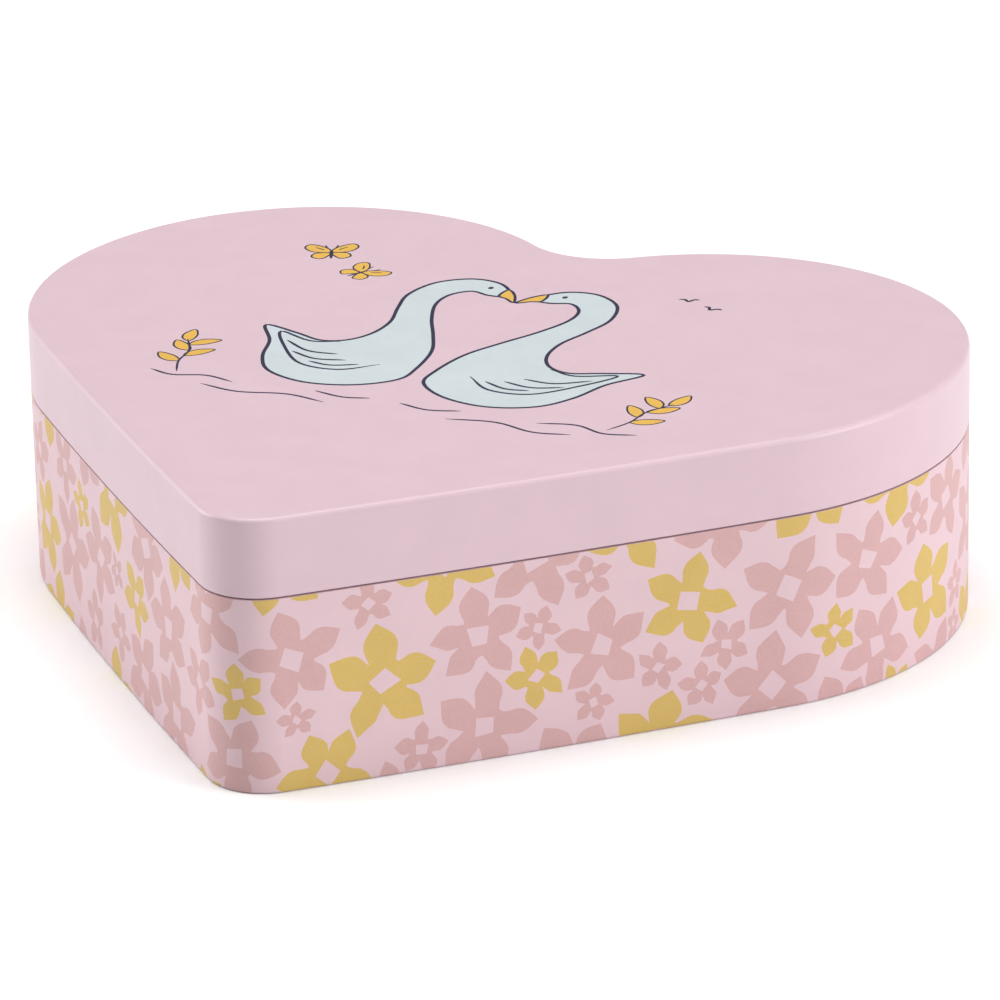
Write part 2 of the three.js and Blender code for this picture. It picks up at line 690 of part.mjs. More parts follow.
// The two-start worm: a two-lobed section that turns as it rises.
function wormThread() {
  const lead = WORM.starts * PI * GOVERNOR.module;
  const turns = WORM.length / lead;
  const rings = Math.ceil(turns * 16);
  const lobe = [
    [WORM.core, -45],
    [WORM.crest, -17],
    [WORM.crest, 17],
    [WORM.core, 45],
    [WORM.core, 90],
  ];
  const section = [0, 180].flatMap((turn) => lobe.map(([r, a]) => [r, degrees(a + turn)]));
  const loops = Array.from({ length: rings + 1 }, (_, k) => {
    const z = WORM.length * (k / rings - 0.5);
    const angle = (2 * PI * z) / lead;
    return section.map(([r, a]) => [r * cos(a + angle), r * sin(a + angle), z]);
  });
  return stack(loops);
}

function buildGovernor(group) {
  const { pinionTeeth, wheelTeeth, module, drop } = GOVERNOR;
  const gap = PI / pinionTeeth;
  const pinion = gearOutline(pinionTeeth, DRUM_GEAR.module, drop + PI + gap);
  const wheel = gearOutline(wheelTeeth, module);
  const shaft = shaped(post(0.6, DRUM_END - 0.8, WORM_WHEEL.x + 3.2, { sides: 12 }), {
    add: [
      extrude(pinion, DRUM_GEAR.thick, DRUM_END + 0.1),
      extrude(wheel, WORM_WHEEL.thick, WORM_WHEEL.x),
    ],
  });
  piece(group, "governor_wheel", alongX(shaft, SHAFT.y, SHAFT.z), brass);

  const armZ = SHAFT.z + WORM_WHEEL_R + 1.1;
  const { half, z0, z1, thick } = FAN;
  const arbor = post(0.5, FLOOR_TOP + 0.4, armZ + 1, { sides: 12 });
  const fan = shaped(arbor, {
    add: [wormThread().translate(0, 0, SHAFT.z), box(-half, half, -thick / 2, thick / 2, z0, z1)],
  });
  piece(group, "governor_fan", fan.translate(WORM_AT.x, WORM_AT.y, 0), steel);

  const wire = shaped(post(STOP.r, BED_TOP + 0.6, STOP.top, { sides: 12 }), {
    add: [post(1.2, STOP.top - 1.6, STOP.top, { sides: 14 })],
  });
  piece(group, "stop_wire", wire.translate(STOP.x, STOP.y, 0), steel);
}

// ---- Turning figure ----

function buildSpindle(group) {
  const pin = shaped(post(1.6, BED_TOP, WHEEL_Z - 0.3), { add: [post(0.7, BED_TOP + 1, 34)] });
  piece(group, "spindle_post", pin.translate(SPINDLE.x, SPINDLE.y, 0), steel);

  const { teeth, module } = SPINDLE_GEAR;
  const gearPhase = SPINDLE_DIRECTION + PI + PI / teeth;
  const tube = shaped(extrude(gearOutline(teeth, module, gearPhase), GREAT.thick, WHEEL_Z), {
    add: [
      post(2, WHEEL_Z, SPINDLE_TOP, { sides: 20 }),
      post(3.6, COVER.top + 0.4, SPINDLE_TOP, { sides: 24 }),
    ],
    cut: [post(1, 0, 34.6, { sides: 14 })],
  });
  piece(group, "spindle", tube.translate(SPINDLE.x, SPINDLE.y, 0), whitePlastic);
}

// The spring stem's centre line rises from the spindle and bends forward a quarter turn.
class BentCoil extends THREE.Curve {
  getPoint(t) {
    const { bendR, coilR, wireR, turns } = SPRING;
    const bend = (t * PI) / 2;
    const around = 2 * PI * turns * t;
    const side = bendR + coilR * cos(around);
    const start = SPINDLE_TOP + wireR + 0.05;
    return new THREE.Vector3(
      SPINDLE.x + coilR * sin(around),
      SPINDLE.y - bendR + side * cos(bend),
      start + side * sin(bend),
    );
  }
}

function buildFigure(group) {
  const { wireR, bendR, turns } = SPRING;
  const wire = new THREE.Shape().absarc(0, 0, wireR, 0, 2 * PI, false);
  const coil = new THREE.ExtrudeGeometry(wire, {
    extrudePath: new BentCoil(),
    steps: turns * 10,
    curveSegments: 3,
  });
  piece(group, "figure_spring", coil, steel);

  // Made pointing along +Z from the spring's end, then laid forward.
  const { stem, body, bodyR, span, wing, dihedral } = BUTTERFLY;
  const lay = (geometry) =>
    geometry
      .rotateX(PI / 2)
      .translate(SPINDLE.x, SPINDLE.y - bendR - wireR - 0.1, SPINDLE_TOP + wireR + 0.05 + bendR);
  const feeler = (side) =>
    post(0.3, 0, 4, { sides: 6 })
      .rotateY(side * degrees(28))
      .translate(side * 0.4, 0, stem + body - 0.8);
  const torso = shaped(
    turned([
      [0, 0],
      [2.1, 0],
      [2.1, stem * 0.6],
      [bodyR, stem],
      [bodyR, stem + body - 2],
      [bodyR * 0.7, stem + body - 0.5],
      [0, stem + body],
    ], 14),
    { add: [feeler(-1), feeler(1)] },
  );
  piece(group, "butterfly_body", lay(torso), whitePlastic);

  // One wing pair: a broad upper lobe and a smaller lower one, swept by arcs.
  const outline = new THREE.Shape();
  outline.moveTo(0, 1.5);
  outline.lineTo(3.2, 0.3);
  outline.absarc(6.4, 3.2, 3.6, -0.8, 0.75, false);
  outline.quadraticCurveTo(11.5, 7.2, span / 2, 11.6);
  outline.quadraticCurveTo(span / 2 - 0.2, 14.6, 10, 14.2);
  outline.quadraticCurveTo(4, 13.4, 0, 9.4);
  const options = { depth: wing, bevelEnabled: false, curveSegments: 5 };
  const half = () => new THREE.ExtrudeGeometry(outline, options).rotateX(PI / 2);
  const right = half().rotateZ(-dihedral);
  const left = half().scale(-1, 1, 1);
  const wings = shaped(right, { add: [flipped(left).rotateZ(dihedral)] });
  piece(group, "butterfly_wings", lay(wings.translate(0, -bodyR - 0.1, stem)), wingPlastic);
}

// Turns a mirrored geometry's triangles outwards again.
function flipped(geometry) {
  const merged = geometry.index ? geometry : mergeVertices(geometry);
  const index = [...merged.index.array];
  for (let i = 0; i < index.length; i += 3) [index[i], index[i + 1]] = [index[i + 1], index[i]];
  merged.setIndex(index);
  return merged;
}

const musicBox = new THREE.Group();
musicBox.name = "music_box";
buildBase(musicBox);
buildCompartments(musicBox);
buildPlatform(musicBox);
buildLid(musicBox);
buildHinges(musicBox);
buildBedplate(musicBox);
buildDrive(musicBox);
buildKey(musicBox);
buildCylinder(musicBox);
buildBrackets(musicBox);
buildComb(musicBox);
buildGovernor(musicBox);
buildSpindle(musicBox);
buildFigure(musicBox);

export default musicBox;
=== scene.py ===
import json
import math
import random

import bmesh
import bpy
import numpy as np
from mathutils import Matrix, Vector
from mathutils.geometry import delaunay_2d_cdt

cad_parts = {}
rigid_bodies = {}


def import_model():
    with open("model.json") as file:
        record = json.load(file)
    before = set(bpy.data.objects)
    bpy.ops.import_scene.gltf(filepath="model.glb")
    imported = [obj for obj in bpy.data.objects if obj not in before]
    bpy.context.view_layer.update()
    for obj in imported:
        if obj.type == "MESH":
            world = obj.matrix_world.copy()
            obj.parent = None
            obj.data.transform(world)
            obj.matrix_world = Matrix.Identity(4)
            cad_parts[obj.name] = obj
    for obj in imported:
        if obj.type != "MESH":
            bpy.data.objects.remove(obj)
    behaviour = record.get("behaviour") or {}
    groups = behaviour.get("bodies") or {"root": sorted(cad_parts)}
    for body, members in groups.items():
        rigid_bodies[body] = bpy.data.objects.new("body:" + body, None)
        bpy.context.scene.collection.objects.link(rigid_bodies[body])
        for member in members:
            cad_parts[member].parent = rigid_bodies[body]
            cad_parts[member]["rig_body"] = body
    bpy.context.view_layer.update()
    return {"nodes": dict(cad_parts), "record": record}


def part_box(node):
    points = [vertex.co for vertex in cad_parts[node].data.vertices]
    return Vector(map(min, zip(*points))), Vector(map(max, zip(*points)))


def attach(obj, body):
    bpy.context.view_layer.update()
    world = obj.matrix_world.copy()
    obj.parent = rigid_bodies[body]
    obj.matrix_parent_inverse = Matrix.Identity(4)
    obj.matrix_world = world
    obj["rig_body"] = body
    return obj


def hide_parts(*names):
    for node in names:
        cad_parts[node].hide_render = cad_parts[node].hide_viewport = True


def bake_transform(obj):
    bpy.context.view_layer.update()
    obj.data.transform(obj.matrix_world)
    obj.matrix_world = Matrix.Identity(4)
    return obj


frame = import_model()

NODES = frame["nodes"]
MM = 0.001
TAU = 2 * math.pi

# ---- The box's dimensions, as the CAD has them ----

LOBE_X, LOBE_R = 40.1, 49.2
CHEEK_R, CHEEK_FROM = 57.4, math.radians(24)
SIDE_R, SIDE_FROM = 1900.0, math.radians(-43.5)
TIP_R, CLEFT_R = 11.0, 16.5
HINGE_REACH = 3.5
HEIGHT, SEAM, LID_BOTTOM = 51.0, 36.2, 36.5
WALL = 3.5
PANEL_Z = 48.0
TOP_EDGE_R = 1.0
BOTTOM_EDGE_R = 0.6
SEAM_EDGE_R = 0.18
FLOOR_TOP = 12.0
LINING_INSET, LINING = 3.65, 0.8
BASE_LINING_TOP, LID_LINING_BOTTOM = 35.6, 36.9

# The flat seat under each hinge leaf: its half width, its depth, the width of the step round it, how far
# it runs over the rounded edge at the seam, and its lowest level on the base and highest on the lid.
SEAT_HALF, SEAT_DEPTH, SEAT_STEP, SEAT_OVERRUN = 6.3, 0.5, 0.05, 1.2
BASE_SEAT_Z, LID_SEAT_Z = 27.05, 45.65


# ---- The heart outline ----


def heading(angle):
    """The unit vector at an angle from +X."""
    return np.array([math.cos(angle), math.sin(angle)])


def heart_half():
    """Points and outward normals of the right half, from the tip round to the cleft."""
    lobe = np.array([LOBE_X, 0.0])
    cheek = lobe + (LOBE_R - CHEEK_R) * heading(CHEEK_FROM)
    side = cheek + (CHEEK_R - SIDE_R) * heading(SIDE_FROM)
    tip = np.array([0.0, side[1] - math.sqrt((SIDE_R - TIP_R) ** 2 - side[0] ** 2)])
    cleft = np.array([0.0, math.sqrt((LOBE_R + CLEFT_R) ** 2 - LOBE_X**2)])
    to_tip = tip - side
    to_lobe = lobe - cleft
    side_end = math.atan2(to_tip[1], to_tip[0])
    cleft_end = math.atan2(to_lobe[1], to_lobe[0])
    # Centre, radius, first and last angle, distance between points, and which way is out.
    arcs = [
        (tip, TIP_R, -math.pi / 2, side_end, 1.0, 1),
        (side, SIDE_R, side_end, SIDE_FROM, 4.0, 1),
        (cheek, CHEEK_R, SIDE_FROM, CHEEK_FROM, 1.8, 1),
        (lobe, LOBE_R, CHEEK_FROM, cleft_end + math.pi, 1.8, 1),
        (cleft, CLEFT_R, cleft_end, -math.pi / 2, 1.0, -1),
    ]
    points, normals = [], []
    for centre, radius, start, end, step, outward in arcs:
        count = max(2, round(abs(end - start) * radius / step))
        for k in range(count):
            angle = start + (end - start) * k / count
            points.append(centre + radius * heading(angle))
            normals.append(outward * heading(angle))
    points.append(cleft - [0.0, CLEFT_R])
    normals.append(np.array([0.0, 1.0]))
    middle = (LOBE_R + HINGE_REACH + tip[1] - TIP_R) / 2
    return np.array(points) - [0.0, middle], np.array(normals)


def heart_loop():
    """The whole outline, counter-clockwise from the cleft, first point repeated at the end."""
    points, normals = heart_half()
    flip = np.array([-1.0, 1.0])
    left = (points * flip)[::-1], (normals * flip)[::-1]
    return np.concatenate([left[0], points[1:]]), np.concatenate([left[1], normals[1:]])


OUTLINE, OUTWARD = heart_loop()
ALONG = np.concatenate([[0.0], np.cumsum(np.linalg.norm(np.diff(OUTLINE, axis=0), axis=1))])
GIRTH = ALONG[-1]
LOBE_BACK = OUTLINE[:, 1].max()


# ---- Sections swept round the outline ----


def fillet(before, here, after, radius, steps):
    """One corner of a section as stretches (start point, end point, start normal, end normal).

    Also gives where the corner starts and ends. A sharp corner has no stretches."""
    into = (here - before) / np.linalg.norm(here - before)
    out = (after - here) / np.linalg.norm(after - here)
    turn = math.atan2(into[0] * out[1] - into[1] * out[0], float(into @ out))
    trim = radius * math.tan(abs(turn) / 2)
    start, end = here - into * trim, here + out * trim
    if radius == 0:
        return start, end, []
    first, last = np.array([into[1], -into[0]]), np.array([out[1], -out[0]])
    reach = radius * math.copysign(1, turn)
    centre = start - first * reach
    normals = [heading(math.atan2(first[1], first[0]) + turn * j / steps) for j in range(1, steps)]
    path = [(start, first), *[(centre + normal * reach, normal) for normal in normals], (end, last)]
    return start, end, [(a[0], b[0], a[1], b[1]) for a, b in zip(path, path[1:])]


def rounded(corners, steps=4):
    """A closed section from (inset, z, radius) corners, anticlockwise seen with the outside to the right.

    Gives an array of its stretches: start and end as (outward, z), then both normals as (outward, up)."""
    spots = [np.array([-inset, z]) for inset, z, _ in corners]
    turns = zip(spots[-1:] + spots, spots, spots[1:] + spots[:1], (radius for *_, radius in corners))
    bends = [fillet(*turn, steps) for turn in turns]
    stretches = []
    for (_, end, bend), (start, *_) in zip(bends, bends[1:] + bends[:1]):
        stretches += bend
        length = np.linalg.norm(start - end)
        if length > 1e-6:
            out = (start - end) / length
            normal = np.array([out[1], -out[0]])
            stretches.append((end, start, normal, normal))
    return np.array(stretches)


def outer_side(section):
    """The number of the stretch that is the box's flat outer side."""
    return int(np.argmax(section[:, 2:, 0].min(1) > 0.999))


def climbed(section):
    """The distance up the section at which each stretch starts, and at which the last one ends."""
    return np.concatenate([[0.0], np.cumsum(np.linalg.norm(section[:, 1] - section[:, 0], axis=1))])


def loops_edges(loops):
    """All corners of several closed loops, and the edges between them."""
    corners, edges = [], []
    for loop in loops:
        first = len(corners)
        corners += [tuple(point) for point in loop]
        edges += [(first + k, first + (k + 1) % len(loop)) for k in range(len(loop))]
    return corners, edges


def triangulated(corners, edges):
    """Triangles over all corners that keep every edge: points, triangles, and each point's corners."""
    flat, _, triangles, origins, *_ = delaunay_2d_cdt([Vector(c) for c in corners], edges, [], 0, 1e-5)
    return np.array([tuple(v) for v in flat]), np.array(triangles), origins


def inside(points, loops):
    """Which points lie inside a shape made of closed loops, by winding number."""
    winding = np.zeros(len(points), int)
    x, y = points[:, 0], points[:, 1]
    for loop in loops:
        a = np.asarray(loop, float)
        for (ax, ay), (bx, by) in zip(a, np.roll(a, -1, axis=0)):
            side = (bx - ax) * (y - ay) - (x - ax) * (by - ay)
            winding += ((ay <= y) & (by > y) & (side > 0)).astype(int)
            winding -= ((by <= y) & (ay > y) & (side < 0)).astype(int)
    return winding != 0


def painted(centres, shapes):
    """The material number of each triangle: that of the last shape over its centre, or 0."""
    numbers = np.zeros(len(centres), int)
    for loops, number in shapes:
        box = np.concatenate([np.asarray(loop) for loop in loops])
        low, high = box.min(0), box.max(0)
        near = np.where(((centres >= low) & (centres <= high)).all(1))[0]
        numbers[near[inside(centres[near], loops)]] = number
    return numbers


def added(name, data):
    """A new object in the scene."""
    made = bpy.data.objects.new(name, data)
    bpy.context.scene.collection.objects.link(made)
    return made


def make_object(name, points, faces, materials, numbers=None, normals=None):
    """An object from points in millimetres, with a normal for each corner of each face if given."""
    mesh = bpy.data.meshes.new(name)
    mesh.from_pydata([tuple(p * MM) for p in np.asarray(points, float)], [], faces)
    for material in materials:
        mesh.materials.append(material)
    if numbers is not None:
        mesh.polygons.foreach_set("material_index", np.asarray(numbers, np.int32))
    mesh.shade_smooth()
    if normals is not None:
        mesh.normals_split_custom_set([tuple(n) for n in normals])
    mesh.update()
    return added(name, mesh)


def ring_faces(first, sides):
    """Faces from one closed ring of points, numbered from first, to the next ring."""
    pairs = [(first + j, first + (j + 1) % sides) for j in range(sides)]
    return [[a, b, b + sides, a + sides] for a, b in pairs]


def unit(vectors):
    """Each row scaled to length 1."""
    return vectors / np.maximum(np.linalg.norm(vectors, axis=1), 1e-12)[:, None]


def level_of(heights, climb):
    """The number of the stretch that each height up the section lies on."""
    return np.clip(np.searchsorted(climb, heights, side="right") - 1, 0, len(climb) - 2)


def cut_sheet(climb, shapes, seats):
    """The unrolled surface, cut at every point of the outline and section, every shape and every seat.

    Its points are (distance along the outline, distance up the section)."""
    depth = climb[-1]
    corners, edges = loops_edges([loop for loops, _ in shapes for loop in loops])

    def line(a, b):
        first = len(corners)
        corners.extend([a, b])
        edges.append((first, first + 1))

    for s in ALONG:
        line((s, 0.0), (s, depth))
    for t in climb:
        line((0.0, t), (GIRTH, t))
    for s0, s1, t0, t1 in seats:
        for s, t in ((s0, t0), (s0 + SEAT_STEP, t0 + SEAT_STEP)):
            line((s, 0.0), (s, depth))
            line((s0 + s1 - s, 0.0), (s0 + s1 - s, depth))
            line((s0, t), (s1, t))
            line((s0, t0 + t1 - t), (s1, t0 + t1 - t))
    flat, triangles, _ = triangulated(corners, edges)
    centres = flat[triangles].mean(1)
    sheet = (centres > 1e-6).all(1) & (centres < [GIRTH - 1e-6, depth - 1e-6]).all(1)
    return flat, triangles[sheet]


def wrapped(flat, section, climb):
    """The unrolled points laid round the heart, and the outline's normal at each."""
    strip = level_of(flat[:, 0], ALONG)
    share = ((flat[:, 0] - ALONG[strip]) / np.diff(ALONG)[strip])[:, None]
    base = OUTLINE[strip] * (1 - share) + OUTLINE[strip + 1] * share
    outward = OUTWARD[strip] * (1 - share) + OUTWARD[strip + 1] * share
    level = level_of(flat[:, 1], climb)
    rise = ((flat[:, 1] - climb[level]) / np.diff(climb)[level])[:, None]
    spot = section[level, 0] * (1 - rise) + section[level, 1] * rise
    return np.column_stack([base + spot[:, :1] * outward, spot[:, 1]]), outward


def corner_normals(flat, triangles, outward, section, climb):
    """The smooth normal at each corner of each triangle, from the outline's and the section's."""
    height = flat[triangles][:, :, 1]
    band = level_of(height.mean(1), climb)
    part = ((height - climb[band][:, None]) / np.diff(climb)[band][:, None])[:, :, None]
    tilt = section[band, 2][:, None] * (1 - part) + section[band, 3][:, None] * part
    return np.concatenate([unit(outward)[triangles] * tilt[:, :, :1], tilt[:, :, 1:]], axis=2)


def swept(name, section, materials, shapes=(), seat=None):
    """A closed solid of a section swept round the heart, with flat shapes printed into its surface.

    Shapes are (loops, material number) with points as (distance along, distance up the section).
    seat is (lowest z, highest z) of the flats cut behind the lobes."""
    climb = climbed(section)
    seats = seat_boxes(section, climb, seat) if seat else []
    flat, triangles = cut_sheet(climb, shapes, seats)
    numbers = painted(flat[triangles].mean(1), shapes)
    points, outward = wrapped(flat, section, climb)
    normals = corner_normals(flat, triangles, outward, section, climb)

    sunk = np.zeros(len(points), bool)
    for s0, s1, t0, t1 in seats:
        low = np.array([s0, t0]) + SEAT_STEP / 2
        high = np.array([s1, t1]) - SEAT_STEP / 2
        sunk |= ((flat > low) & (flat < high)).all(1)
    points[sunk, 1] = np.minimum(points[sunk, 1], LOBE_BACK - SEAT_DEPTH)
    touched = sunk[triangles].any(1)
    if touched.any():
        a, b, c = (points[triangles[touched][:, k]] for k in range(3))
        normals[touched] = unit(np.cross(b - a, c - a))[:, None, :]
        numbers[touched] = 0

    points, triangles, kept = merged(points, triangles)
    corners = unit(normals[kept].reshape(-1, 3))
    return make_object(name, points, triangles.tolist(), materials, numbers[kept], corners)


def merged(points, triangles):
    """Joins points at the same place; drops triangles that this closes up."""
    keys = np.round(points / 1e-4).astype(np.int64)
    _, first, number = np.unique(keys, axis=0, return_index=True, return_inverse=True)
    number = number.ravel()
    triangles = number[triangles]
    a, b, c = triangles.T
    kept = (a != b) & (b != c) & (a != c)
    return points[first], triangles[kept], kept


def seat_boxes(section, climb, seat):
    """Where the hinge seats lie, as (from, to) along the outline and up the section's outer side."""
    low, high = seat
    side = outer_side(section)
    start, end = section[side, :2, 1]
    t0 = climb[side] + (max(low, start) - start)
    t1 = climb[side] + (min(high, end) - start)
    if high <= SEAM:
        t1 += SEAT_OVERRUN
    else:
        t0 -= SEAT_OVERRUN
    half = LOBE_R * math.asin(SEAT_HALF / LOBE_R)
    back = np.argmax(OUTLINE[: len(OUTLINE) // 2, 1])
    middle = ALONG[back] + LOBE_X + OUTLINE[back, 0]
    return [(at - half, at + half, t0, t1) for at in (middle, GIRTH - middle)]


def slab(name, section, materials, shapes=()):
    """A closed solid with the heart's outline, whose flat top carries printed shapes.

    The section's stretches run from the underside's edge up to the top's edge."""
    levels = [section[0, 0], *section[:, 1]]
    outline, outward = OUTLINE[:-1], OUTWARD[:-1]
    count = len(outline)
    points = [np.column_stack([outline + out * outward, np.full(count, z)]) for out, z in levels]
    faces, normals = [], []
    for k, (_, _, n0, n1) in enumerate(section):
        faces += ring_faces(k * count, count)
        for i in range(count):
            j = (i + 1) % count
            for at, tilt in ((i, n0), (j, n0), (j, n1), (i, n1)):
                normals.append([*(outward[at] * tilt[0]), tilt[1]])
    numbers = [0] * len(faces)
    for level, up, printed in ((0, -1, ()), (len(levels) - 1, 1, shapes)):
        border, z = points[level][:, :2], levels[level][1]
        flat, triangles, inks, named = capped(border, printed)
        extra = [k for k in range(len(flat)) if k not in named]
        names = {k: level * count + old for k, old in named.items()}
        names.update({k: sum(len(p) for p in points) + n for n, k in enumerate(extra)})
        points.append(np.column_stack([flat[extra], np.full(len(extra), z)]))
        faces += [[names[v] for v in (t if up > 0 else (t[0], t[2], t[1]))] for t in triangles]
        normals += [[0.0, 0.0, float(up)]] * (3 * len(triangles))
        numbers += inks
    return make_object(name, np.concatenate(points), faces, materials, numbers, unit(np.array(normals)))


def capped(border, shapes):
    """A flat area with printed shapes: points, triangles, inks, and which points are the border's."""
    corners, edges = loops_edges([border, *[loop for loops, _ in shapes for loop in loops]])
    flat, triangles, origins = triangulated(corners, edges)
    centres = flat[triangles].mean(1)
    kept = inside(centres, [border])
    named = {new: old for new, olds in enumerate(origins) for old in olds if old < len(border)}
    return flat, triangles[kept], painted(centres[kept], shapes).tolist(), named


# ---- Materials ----


def linear(red, green, blue):
    """Shader colour from 0..255 screen values."""
    parts = [v / 255 for v in (red, green, blue)]
    return tuple(p / 12.92 if p <= 0.04045 else ((p + 0.055) / 1.055) ** 2.4 for p in parts) + (1.0,)


def shade(colour, factor):
    """A colour made lighter or darker."""
    return tuple(min(1.0, c * factor) for c in colour[:3]) + (1.0,)


class Finish:
    """A node material under construction: a Principled shader with procedural detail."""

    def __init__(self, name, **sockets):
        self.material = bpy.data.materials.new(name)
        self.material.use_nodes = True
        self.nodes = self.material.node_tree.nodes
        self.links = self.material.node_tree.links
        self.shader = self.nodes["Principled BSDF"]
        for socket, value in sockets.items():
            self.shader.inputs[socket.replace("_", " ")].default_value = value
        self.place = self.nodes.new("ShaderNodeTexCoord").outputs["Object"]

    def node(self, kind, inputs, **settings):
        """A new node with its inputs set to values or linked to sockets."""
        made = self.nodes.new("ShaderNode" + kind)
        for setting, value in settings.items():
            setattr(made, setting, value)
        for key, given in inputs.items():
            if hasattr(given, "is_output"):
                self.links.new(given, made.inputs[key])
            else:
                made.inputs[key].default_value = given
        return made

    def noise(self, size, detail=3.0, rough=0.5):
        """Soft random values with features of about size millimetres, or of three sizes along x, y and z."""
        place = self.place
        if isinstance(size, tuple):
            scale = [1 / (along * MM) for along in size]
            place = self.node("Mapping", {"Vector": place, "Scale": scale}).outputs["Vector"]
            size = 1 / MM
        inputs = {"Vector": place, "Scale": 1 / (size * MM), "Detail": detail, "Roughness": rough}
        return self.node("TexNoise", inputs).outputs["Fac"]

    def cells(self, size):
        """Values that fall off from scattered points about size millimetres apart."""
        return self.node("TexVoronoi", {"Vector": self.place, "Scale": 1 / (size * MM)}).outputs["Distance"]

    def ramp(self, value, *stops):
        """A value turned into a grey, by two stops of (position, level)."""
        node = self.node("ValToRGB", {"Fac": value})
        for element, (position, level) in zip(node.color_ramp.elements, stops):
            element.position, element.color = position, (level, level, level, 1.0)
        return node.outputs["Color"]

    def mix(self, share, a, b):
        """Colour a turned into colour b by a share; a and b are sockets or colours."""
        return self.node("Mix", {0: share, 6: a, 7: b}, data_type="RGBA").outputs[2]

    def varied(self, value, low, high, dark, light):
        """Colour dark turned into colour light as a value goes from low to high."""
        return self.mix(self.ramp(value, (low, 0.0), (high, 1.0)), dark, light)

    def sum(self, a, b, share=1.0):
        """a + share x b."""
        return self.node("Math", {0: b, 1: share, 2: a}, operation="MULTIPLY_ADD").outputs[0]

    def bump(self, height, strength, depth=0.05):
        """Relief on the surface, depth in millimetres."""
        relief = self.node("Bump", {"Strength": strength, "Distance": depth * MM, "Height": height})
        self.links.new(relief.outputs["Normal"], self.shader.inputs["Normal"])

    def colour(self, socket):
        self.links.new(socket, self.shader.inputs["Base Color"])

    def roughness(self, value, low, high):
        self.links.new(self.ramp(value, (0.3, low), (0.7, high)), self.shader.inputs["Roughness"])


PINK = linear(211, 184, 193)
GROUND = linear(216, 187, 194)
DUSTY = linear(201, 158, 157)
MUSTARD = linear(203, 171, 79)
MINT = linear(193, 203, 206)
NAVY = linear(38, 40, 66)
OCHRE = linear(219, 173, 68)
VELVET = linear(222, 158, 176)
# Sizes in mm of long fine features along x, y and z.
METAL_GRAIN = (0.15, 4, 4)
BOARD_FIBRES = (1000 / 400, 1000 / 1300, 1000 / 1300)
WIPE_MARKS = (1000 / 60, 1000 / 220, 1000 / 220)


def paper(name, colour, ink=None, speckle=0.0, roughness=0.5):
    """Satin paper over board; ink is printed over it in a fine broken grain that lets it show."""
    made = Finish(name, Roughness=roughness, Specular_IOR_Level=0.5)
    clouds = made.noise(9, 2.0)
    grain = made.noise(0.32, 4.0, 0.65)
    base = made.varied(clouds, 0.35, 0.65, shade(colour, 0.985), shade(colour, 1.012))
    if ink:
        through = made.ramp(grain, (0.40, speckle), (0.62, 0.0))
        inked = made.varied(clouds, 0.3, 0.7, shade(ink, 0.97), shade(ink, 1.03))
        base = made.mix(through, inked, colour)
    fibres = made.noise(1.6, 5.0, 0.7)
    made.colour(made.mix(made.ramp(fibres, (0.42, 0.10), (0.6, 0.0)), base, shade(ink or colour, 0.90)))
    made.bump(made.sum(grain, fibres, 0.6), 0.35, 0.03)
    made.roughness(fibres, roughness - 0.05, roughness + 0.06)
    return made.material


def velvet_cloth(name, colour):
    """Short-pile velvet: a fine fibre grain, brushed patches and a pale sheen at grazing angles."""
    pale = tuple(0.4 * c + 0.6 for c in colour)
    made = Finish(
        name, Roughness=0.95, Specular_IOR_Level=0.1, Sheen_Weight=0.7, Sheen_Roughness=0.35, Sheen_Tint=pale
    )
    patches = made.noise(14, 3.0, 0.6)
    pile = made.noise(0.35, 3.0, 0.7)
    lay = made.sum(pile, patches, 0.7)
    made.colour(made.varied(lay, 0.6, 1.0, shade(colour, 0.84), shade(colour, 1.1)))
    made.bump(pile, 0.8, 0.18)
    return made.material


def skin(name, patches, tones, fine, rough, relief, **sockets):
    """A hard surface whose tone varies in patches, and its gloss and relief in a fine grain.

    tones is where the change starts and ends and its two colours. rough is the gloss's range."""
    made = Finish(name, **sockets)
    grain = made.noise(*fine)
    made.colour(made.varied(made.noise(*patches), *tones))
    made.roughness(grain, *rough)
    if relief:
        made.bump(grain, *relief)
    return made.material


def metal(name, colour, roughness):
    """Satin metal: drawn or brushed lines along one axis, and slight tarnish in patches."""
    tones = (0.4, 0.75, colour, shade(colour, 0.85))
    rough = (roughness - 0.07, roughness + 0.1)
    return skin(name, (5, 4.0, 0.6), tones, (METAL_GRAIN, 3.0, 0.6), rough, (0.25, 0.02), Metallic=1.0)


def cast(name, colour):
    """Die-cast metal: a fine sandy skin."""
    tones = (0.35, 0.7, shade(colour, 0.85), shade(colour, 1.05))
    return skin(name, (8, 3.0), tones, (0.3, 4.0, 0.6), (0.42, 0.62), (0.5, 0.06), Metallic=1.0)


def moulded(name, colour, roughness=0.35):
    """Moulded plastic: faint flow marks and a fine texture from the tool."""
    tones = (0.3, 0.7, shade(colour, 0.95), shade(colour, 1.02))
    rough = (roughness - 0.05, roughness + 0.08)
    return skin(
        name, (6, 3.0, 0.6), tones, (0.25, 3.0), rough, (0.2, 0.02), Specular_IOR_Level=0.5,
        Subsurface_Weight=0.12, Subsurface_Radius=(0.0012, 0.0009, 0.0007), Subsurface_Scale=1.0,
    )


def silvered(name):
    """Silvered glass with a few faint wipe marks."""
    wipes = (WIPE_MARKS, 3.0, 0.6)
    tones = (0.45, 0.8, linear(238, 241, 243), linear(232, 237, 239))
    return skin(name, wipes, tones, wipes, (0.01, 0.03), None, Metallic=1.0)


